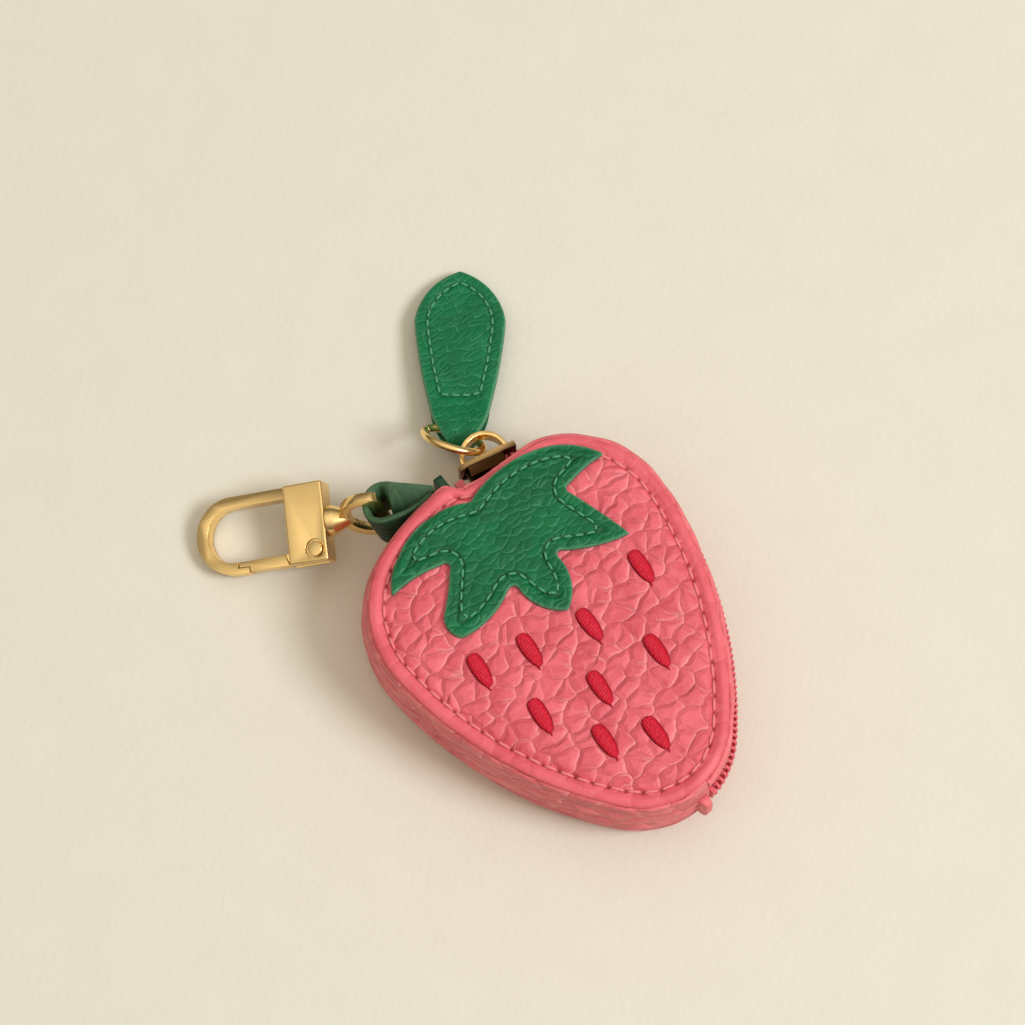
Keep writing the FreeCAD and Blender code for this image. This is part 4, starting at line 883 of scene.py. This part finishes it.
def stemEdge():
    # the right edge of the stem from its shoulder to the tip
    s = stem
    upper = arcThrough((5.2, s["shoulder"]), (15.0, 8.0), (24.7, s["wide"]), 80)
    lower = arcThrough((24.7, s["wide"]), (31.9, 6.2), (s["length"], 0.0), 90)
    low = np.linspace(-4.6, 5.1, 40)
    rounded = np.column_stack([low, s["shoulder"] * (1 - ((5.2 - low) / s["round"]) ** 1.6) ** 0.8])
    return np.vstack([rounded, upper, lower[1:]])


def makeTab():
    # a strip of leather along a line that runs up one layer, round the ring and back along the other; its width follows the stem's outline
    s = stem
    edge = stemEdge()
    full = np.vstack([edge, edge[::-1] * [1, -1]])
    full = evenly(full, 900)[0]
    mid = s["core"] + s["skin"] / 2
    foldR = s["fold"] + s["skin"] / 2
    flatX = s["length"] - 0.02 - (s["length"] - s["taper"]) * np.linspace(0, 1, 90) ** 1.6
    slope = np.linspace(0, 1, 12)[1:-1]
    slopeX = s["taper"] + (s["reach"] - s["taper"]) * slope
    slopeZ = mid + (foldR - mid) * (3 * slope ** 2 - 2 * slope ** 3)
    top = np.vstack([np.column_stack([flatX, np.full(90, mid)]), np.column_stack([slopeX, slopeZ]), [(s["reach"], foldR), (0, foldR)]])
    turn = np.radians(np.linspace(90, 270, 17))
    bend = np.column_stack([-s["reach"] + foldR * np.cos(turn), foldR * np.sin(turn)])
    path = np.vstack([top, bend, top[::-1] * [1, -1]])
    width = np.interp(path[:, 0], edge[:, 0], edge[:, 1])
    along = np.gradient(path, axis=0)
    along /= np.linalg.norm(along, axis=1, keepdims=True)
    outwards = np.column_stack([along[:, 1], -along[:, 0]])  # the finished side of the leather
    if outwards[0, 1] < 0:
        outwards = -outwards
    side = np.concatenate([np.linspace(-1, -0.9, 6), np.linspace(-0.88, 0.88, 34), np.linspace(0.9, 1, 6)])
    y = width[:, None] * side[None]
    spot = np.stack([np.broadcast_to(path[:, :1], y.shape), y], 2)
    edgeWay = nearest(spot.reshape(-1, 2), full).reshape(y.shape)
    edgeWay = np.minimum(edgeWay, width[:, None] - np.abs(y) + 1e-6)
    # the sewn area ends across the stem where the two layers meet
    inside = full[full[:, 0] > s["sewn"]]
    ends = np.column_stack([np.full(30, s["sewn"]), np.linspace(-1, 1, 30) * np.abs(inside[:, 1]).max() * 0.62])
    ring = np.vstack([inside, ends])
    ring = evenly(ring[np.argsort(np.arctan2(ring[:, 1], ring[:, 0] - 20.0))], 700)[0]
    sewnWay = nearest(spot.reshape(-1, 2), ring).reshape(y.shape)
    flatPart = np.clip((path[:, :1] - s["sewn"]) / 1.5, 0, 1)
    rise = sheetHeight(edgeWay, s["inset"], s["skin"], 0.45, 0.0, 0.0)
    rise = rise - flatPart * (0.3 * np.exp(-((sewnWay - s["inset"]) / 0.5) ** 2) + 0.16 / (1 + np.exp(-(sewnWay - s["inset"] - 0.6) / 0.25)))
    rise = rise + 0.07 * waves(spot[..., 0], spot[..., 1], 6.5, 1.4) * np.clip(edgeWay, 0, 1)
    upper = np.stack([path[:, :1] + outwards[:, :1] * (rise - s["skin"] / 2), y, path[:, 1:] + outwards[:, 1:] * (rise - s["skin"] / 2)], 2)
    down = -s["skin"] / 2
    inner = np.stack([np.broadcast_to(path[:, :1] + outwards[:, :1] * down, y.shape), y, np.broadcast_to(path[:, 1:] + outwards[:, 1:] * down, y.shape)], 2)
    points = np.concatenate([upper, inner[:, ::-1]], 1)
    way = np.concatenate([[0], np.cumsum(np.linalg.norm(np.diff(path, axis=0), axis=1))])
    flat, faces, uvs = gridSurface(inFrame(points, tabFrame), way, np.arange(points.shape[1] + 1) * 0.4)
    # pits: a dark line along the sewn row, painted shade in the groove; the edge mark: the pale rounded edge, partly
    # the cut edge's own colour and partly a painted highlight
    pits = np.concatenate([0.45 * np.exp(-((sewnWay - s["inset"] - 0.1) / 0.3) ** 2) * flatPart, np.zeros_like(y)], 1)
    edgeHighlightAndWear = np.concatenate([0.45 * np.exp(-(edgeWay / 0.3) ** 2), np.zeros_like(y)], 1)
    finished("stemLeather", flat, faces, uvs, "tab", stemLeather, "pull_tab",
             {"pits": np.concatenate([pits.ravel(), [0, 0]]), "edgeHighlightAndWear": np.concatenate([edgeHighlightAndWear.ravel(), [0, 0]])})
    # the row of stitches: that outline drawn in
    row = insetLine(ring, (20.0, 0.0), s["inset"], s["stitches"])
    row = np.vstack([row, row[:1]])
    return [np.column_stack([row, np.full(len(row), sign * (s["core"] + s["skin"] - 0.24))]) for sign in (1, -1)]


tabRows = makeTab()


def makeTabStitches():
    # both faces show the same row, so the two rows are made as one piece
    made = []
    for row, sign in zip(tabRows, (1.0, -1.0)):
        first, last = row[:-1], row[1:]
        t = np.linspace(0, 1, 8)
        way = last - first
        gap = 0.36 / np.linalg.norm(way, axis=1, keepdims=True)
        a, b = first + way * gap, last - way * gap
        lines = a[:, None] + (b - a)[:, None] * t[None, :, None]
        lines[..., 2] += sign * (0.12 * np.sin(np.pi * t) ** 0.6 + 0.1)
        made.append(lines)
    lines = inFrame(np.concatenate(made), tabFrame)
    ups = np.concatenate([np.full((len(made[0]), 8, 1), 1.0), np.full((len(made[0]), 8, 1), -1.0)]) * np.array(tabFrame["z"])
    radii = 0.27 * (0.55 + 0.45 * np.sin(np.pi * np.linspace(0.03, 0.97, 8)) ** 0.45)
    flat, faces, uvs = tubes(lines, np.broadcast_to(radii, lines.shape[:2]).copy(), ups, 8)
    finished("stemStitches", flat, faces, uvs, "tab", greenThread, "pull_tab_stitching")


makeTabStitches()
print("pull tab made")


strap = dict(start=(-22.2, -3.1), skin=1.2, width=8.6, lean=8.6, fall=2.4,
             arcs=[((-17.6, -3.7), (-14.4, -4.1)), ((-11.3, -4.2), (-9.3, -2.9)), ((-8.5, 0.0), (-9.1, 3.0)), ((-11.2, 4.9), (-13.8, 5.1)), ((-18.2, 2.9), (-22.2, -1.1))])


def makeStrap():
    # a flat strip bent into a teardrop: a rounded section carried along arcs, its edges a little thinner
    s = strap
    points, start = [], s["start"]
    for middle, end in s["arcs"]:
        points.append(arcThrough(start, middle, end, 26)[:-1])
        start = end
    line = np.vstack(points + [[start]])
    for _ in range(5):
        line[1:-1] = (line[:-2] + line[1:-1] * 2 + line[2:]) / 4
    line, length = evenly(line, 110, closed=False)
    along = np.gradient(line, axis=0)
    along /= np.linalg.norm(along, axis=1, keepdims=True)
    inward = np.column_stack([-along[:, 1], along[:, 0]])
    half, mid = s["width"] / 2, s["skin"] / 2
    section = roundedProfile(-mid + 0.0, mid, -half, half, 0.32, 18)
    section2 = section.copy()
    inner = section[:, 0] < 0
    section2[inner, 1] *= 0.96
    bow = 0.12 * np.cos(section2[:, 1] / half * 1.4)
    away = -(section2[:, 0] + bow * 0.6 - 0.05)  # the section's outer side faces away from the loop's inside
    spot = line[:, None] + inward[:, None] * (mid + away)[None, :, None]
    ripple = 0.06 * np.sin(np.linspace(0, length, 110) / 1.7)[:, None]
    # the far side leans in at its lower edge, so that the loop closes underneath
    lower = (half - section2[:, 1])[None] / s["width"]
    farther = np.clip((3.5 - spot[..., 1]) / 7.0, 0, 1) * np.clip((-11.9 - spot[..., 0]) / 1.6, 0, 1)
    spot = spot + np.stack([np.zeros_like(farther), s["lean"] * farther * lower], 2)
    # towards the seam the upper edge comes down
    level = section2[:, 1] - s["fall"] * np.clip((-14.0 - line[:, :1]) / 8.0, 0, 1) * (section2[:, 1] + half)[None] / s["width"]
    points = np.concatenate([spot, (level + ripple)[..., None]], 2)
    flat, faces, uvs = gridSurface(inFrame(points, eyeFrame), np.linspace(0, length, 110), np.linspace(0, 20, len(section2) + 1))
    # the edge mark along both edges of the strap: partly the paler cut edge, partly a painted highlight
    edgeHighlightAndWear = 0.4 * np.exp(-((half - np.abs(section2[:, 1])) / 0.3) ** 2)
    edgeHighlightAndWear = np.concatenate([np.tile(edgeHighlightAndWear, 110), [0, 0]])
    finished("strapLoop", flat, faces, uvs, "strap", shadedGreen, "strap_loop", {"edgeHighlightAndWear": edgeHighlightAndWear})


makeStrap()
print("strap made")


def polished(name, node, body, material, edge, paintedShade=None):
    # the CAD metal with its points merged, flat faces joined up and edges softened as polishing leaves them
    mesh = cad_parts[node].data.copy()
    mesh.name = name
    work = bmesh.new()
    work.from_mesh(mesh)
    bmesh.ops.remove_doubles(work, verts=work.verts, dist=0.002 * mm)
    bmesh.ops.dissolve_limit(work, angle_limit=math.radians(0.6), verts=work.verts, edges=work.edges)
    work.to_mesh(mesh)
    work.free()
    mesh.polygons.foreach_set("use_smooth", np.ones(len(mesh.polygons), bool))
    mesh.materials.clear()
    mesh.materials.append(material)
    # the part of the piece closer than the last number to the circle given by the first three is painted near-black
    # brown: painted shade on the slider's lower face under the front rim
    if paintedShade:
        spots = np.empty(len(mesh.vertices) * 3)
        mesh.vertices.foreach_get("co", spots)
        out = np.hypot(spots[0::3] / mm - paintedShade[0], spots[1::3] / mm - paintedShade[1]) - paintedShade[2]
        mesh.attributes.new("paintedShade", "FLOAT", "POINT").data.foreach_set("value", np.clip((paintedShade[3] - out) / 0.3, 0, 1))
    piece = bpy.data.objects.new(name, mesh)
    bpy.context.scene.collection.objects.link(piece)
    soft = piece.modifiers.new("softEdges", "BEVEL")
    soft.width, soft.segments, soft.limit_method, soft.angle_limit = edge * mm, 2, "ANGLE", math.radians(38)
    soft.harden_normals = True
    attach(piece, body)
    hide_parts(node)
    return piece


polished("hookBody", "hook_body", "hook", gold, 0.16)
polished("hookGate", "gate", "gate", gold, 0.14)
polished("gateRivet", "gate_pin", "hook", gold, 0.12)
polished("swivelEye", "swivel_eye", "eye", gold, 0.16)
# the slider within 2.9 mm outside the pouch's top arc, below its plate's top edge, is painted near-black brown as
# painted shade
polished("sliderBody", "slider_body", "slider", brownGold, 0.14, (0.0, -15.258, 53.2, 2.9))
polished("sliderCrown", "slider_crown", "slider", gold, 0.16)
polished("pullRing", "pull_ring", "ring", gold, 0.05)
print("metal made")

inside = {
    "back_stiffener": stiffenerBoard, "pull_tab_core": stiffenerBoard,
    "back_lining": liningCloth, "gusset_lining": liningCloth,
    "gate_spring": springSteel, "zip_top_stop_front": pinkNylon, "zip_top_stop_back": pinkNylon, "zip_bottom_stop": pinkNylon}
for node, material in inside.items():
    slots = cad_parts[node].data.materials
    slots.clear()
    slots.append(material)


studio = dict(floor=tint(229, 226, 210), target=(9.413, 31.2, 0.0), azimuth=-37.0, elevation=73.0, distance=600.0, lens=105.4,
              keyFrom=(0.58, -0.81), keyElevation=50.0, keyDistance=1700.0, keySize=0.62, keyPower=16.5,
              keyColour=(0.97, 0.99, 1.06), fill=(1.0, 0.90, 0.78), horizon=0.12, zenith=1.25)


def floorFinish():
    f = Finish("paleFloor")
    where = f.place()
    soft = f.noise(where, 90, 3.0)
    return f.done(f.mix(soft, tint(224, 220, 203), studio["floor"]), 0.85, f.noise(where, 700, 3.0), 0.12, Specular_IOR_Level=0.2)


def makeStudio(s):
    mesh = bpy.data.meshes.new("floor")
    reach = 3.0
    mesh.from_pydata([(-reach, -reach, 0), (reach, -reach, 0), (reach, reach, 0), (-reach, reach, 0)], [], [(0, 1, 2, 3)])
    mesh.materials.append(floorFinish())
    floor = bpy.data.objects.new("floor", mesh)
    bpy.context.scene.collection.objects.link(floor)
    target = Vector(s["target"]) * mm
    across, up = math.cos(math.radians(s["keyElevation"])), math.sin(math.radians(s["keyElevation"]))
    lamp = bpy.data.lights.new("key", "AREA")
    lamp.shape, lamp.size, lamp.energy, lamp.color = "DISK", s["keySize"], s["keyPower"], s["keyColour"]
    key = bpy.data.objects.new("key", lamp)
    heading = Vector((s["keyFrom"][0] * across, s["keyFrom"][1] * across, up)).normalized()
    key.location = target + heading * s["keyDistance"] * mm
    key.rotation_euler = heading.to_track_quat("Z", "Y").to_euler()
    bpy.context.scene.collection.objects.link(key)
    world = bpy.data.worlds.new("studio")
    world.use_nodes = True
    back = world.node_tree.nodes["Background"]
    back.inputs[0].default_value = (*s["fill"], 1.0)
    # a soft sky: bright overhead, dimmer towards the horizon
    ways = world.node_tree.nodes.new("ShaderNodeTexCoord")
    parts = world.node_tree.nodes.new("ShaderNodeSeparateXYZ")
    rise = world.node_tree.nodes.new("ShaderNodeMapRange")
    rise.inputs[3].default_value, rise.inputs[4].default_value = s["horizon"], s["zenith"]
    curve = world.node_tree.nodes.new("ShaderNodeMath")
    curve.operation, curve.use_clamp = "POWER", True
    curve.inputs[1].default_value = 2.2
    world.node_tree.links.new(ways.outputs["Generated"], parts.inputs[0])
    world.node_tree.links.new(parts.outputs[2], curve.inputs[0])
    world.node_tree.links.new(curve.outputs[0], rise.inputs[0])
    world.node_tree.links.new(rise.outputs[0], back.inputs[1])
    bpy.context.scene.world = world
    lens = bpy.data.cameras.new("camera")
    lens.lens, lens.sensor_width, lens.clip_start = s["lens"], 36.0, 0.01
    camera = bpy.data.objects.new("camera", lens)
    a, e = math.radians(s["azimuth"]), math.radians(s["elevation"])
    away = Vector((math.sin(a) * math.cos(e), -math.cos(a) * math.cos(e), math.sin(e)))
    camera.location = target + away * s["distance"] * mm
    camera.rotation_euler = away.to_track_quat("Z", "Y").to_euler()
    bpy.context.scene.collection.objects.link(camera)
    bpy.context.scene.camera = camera
    bpy.context.scene.view_settings.view_transform = "Standard"


makeStudio(studio)
print("studio made")
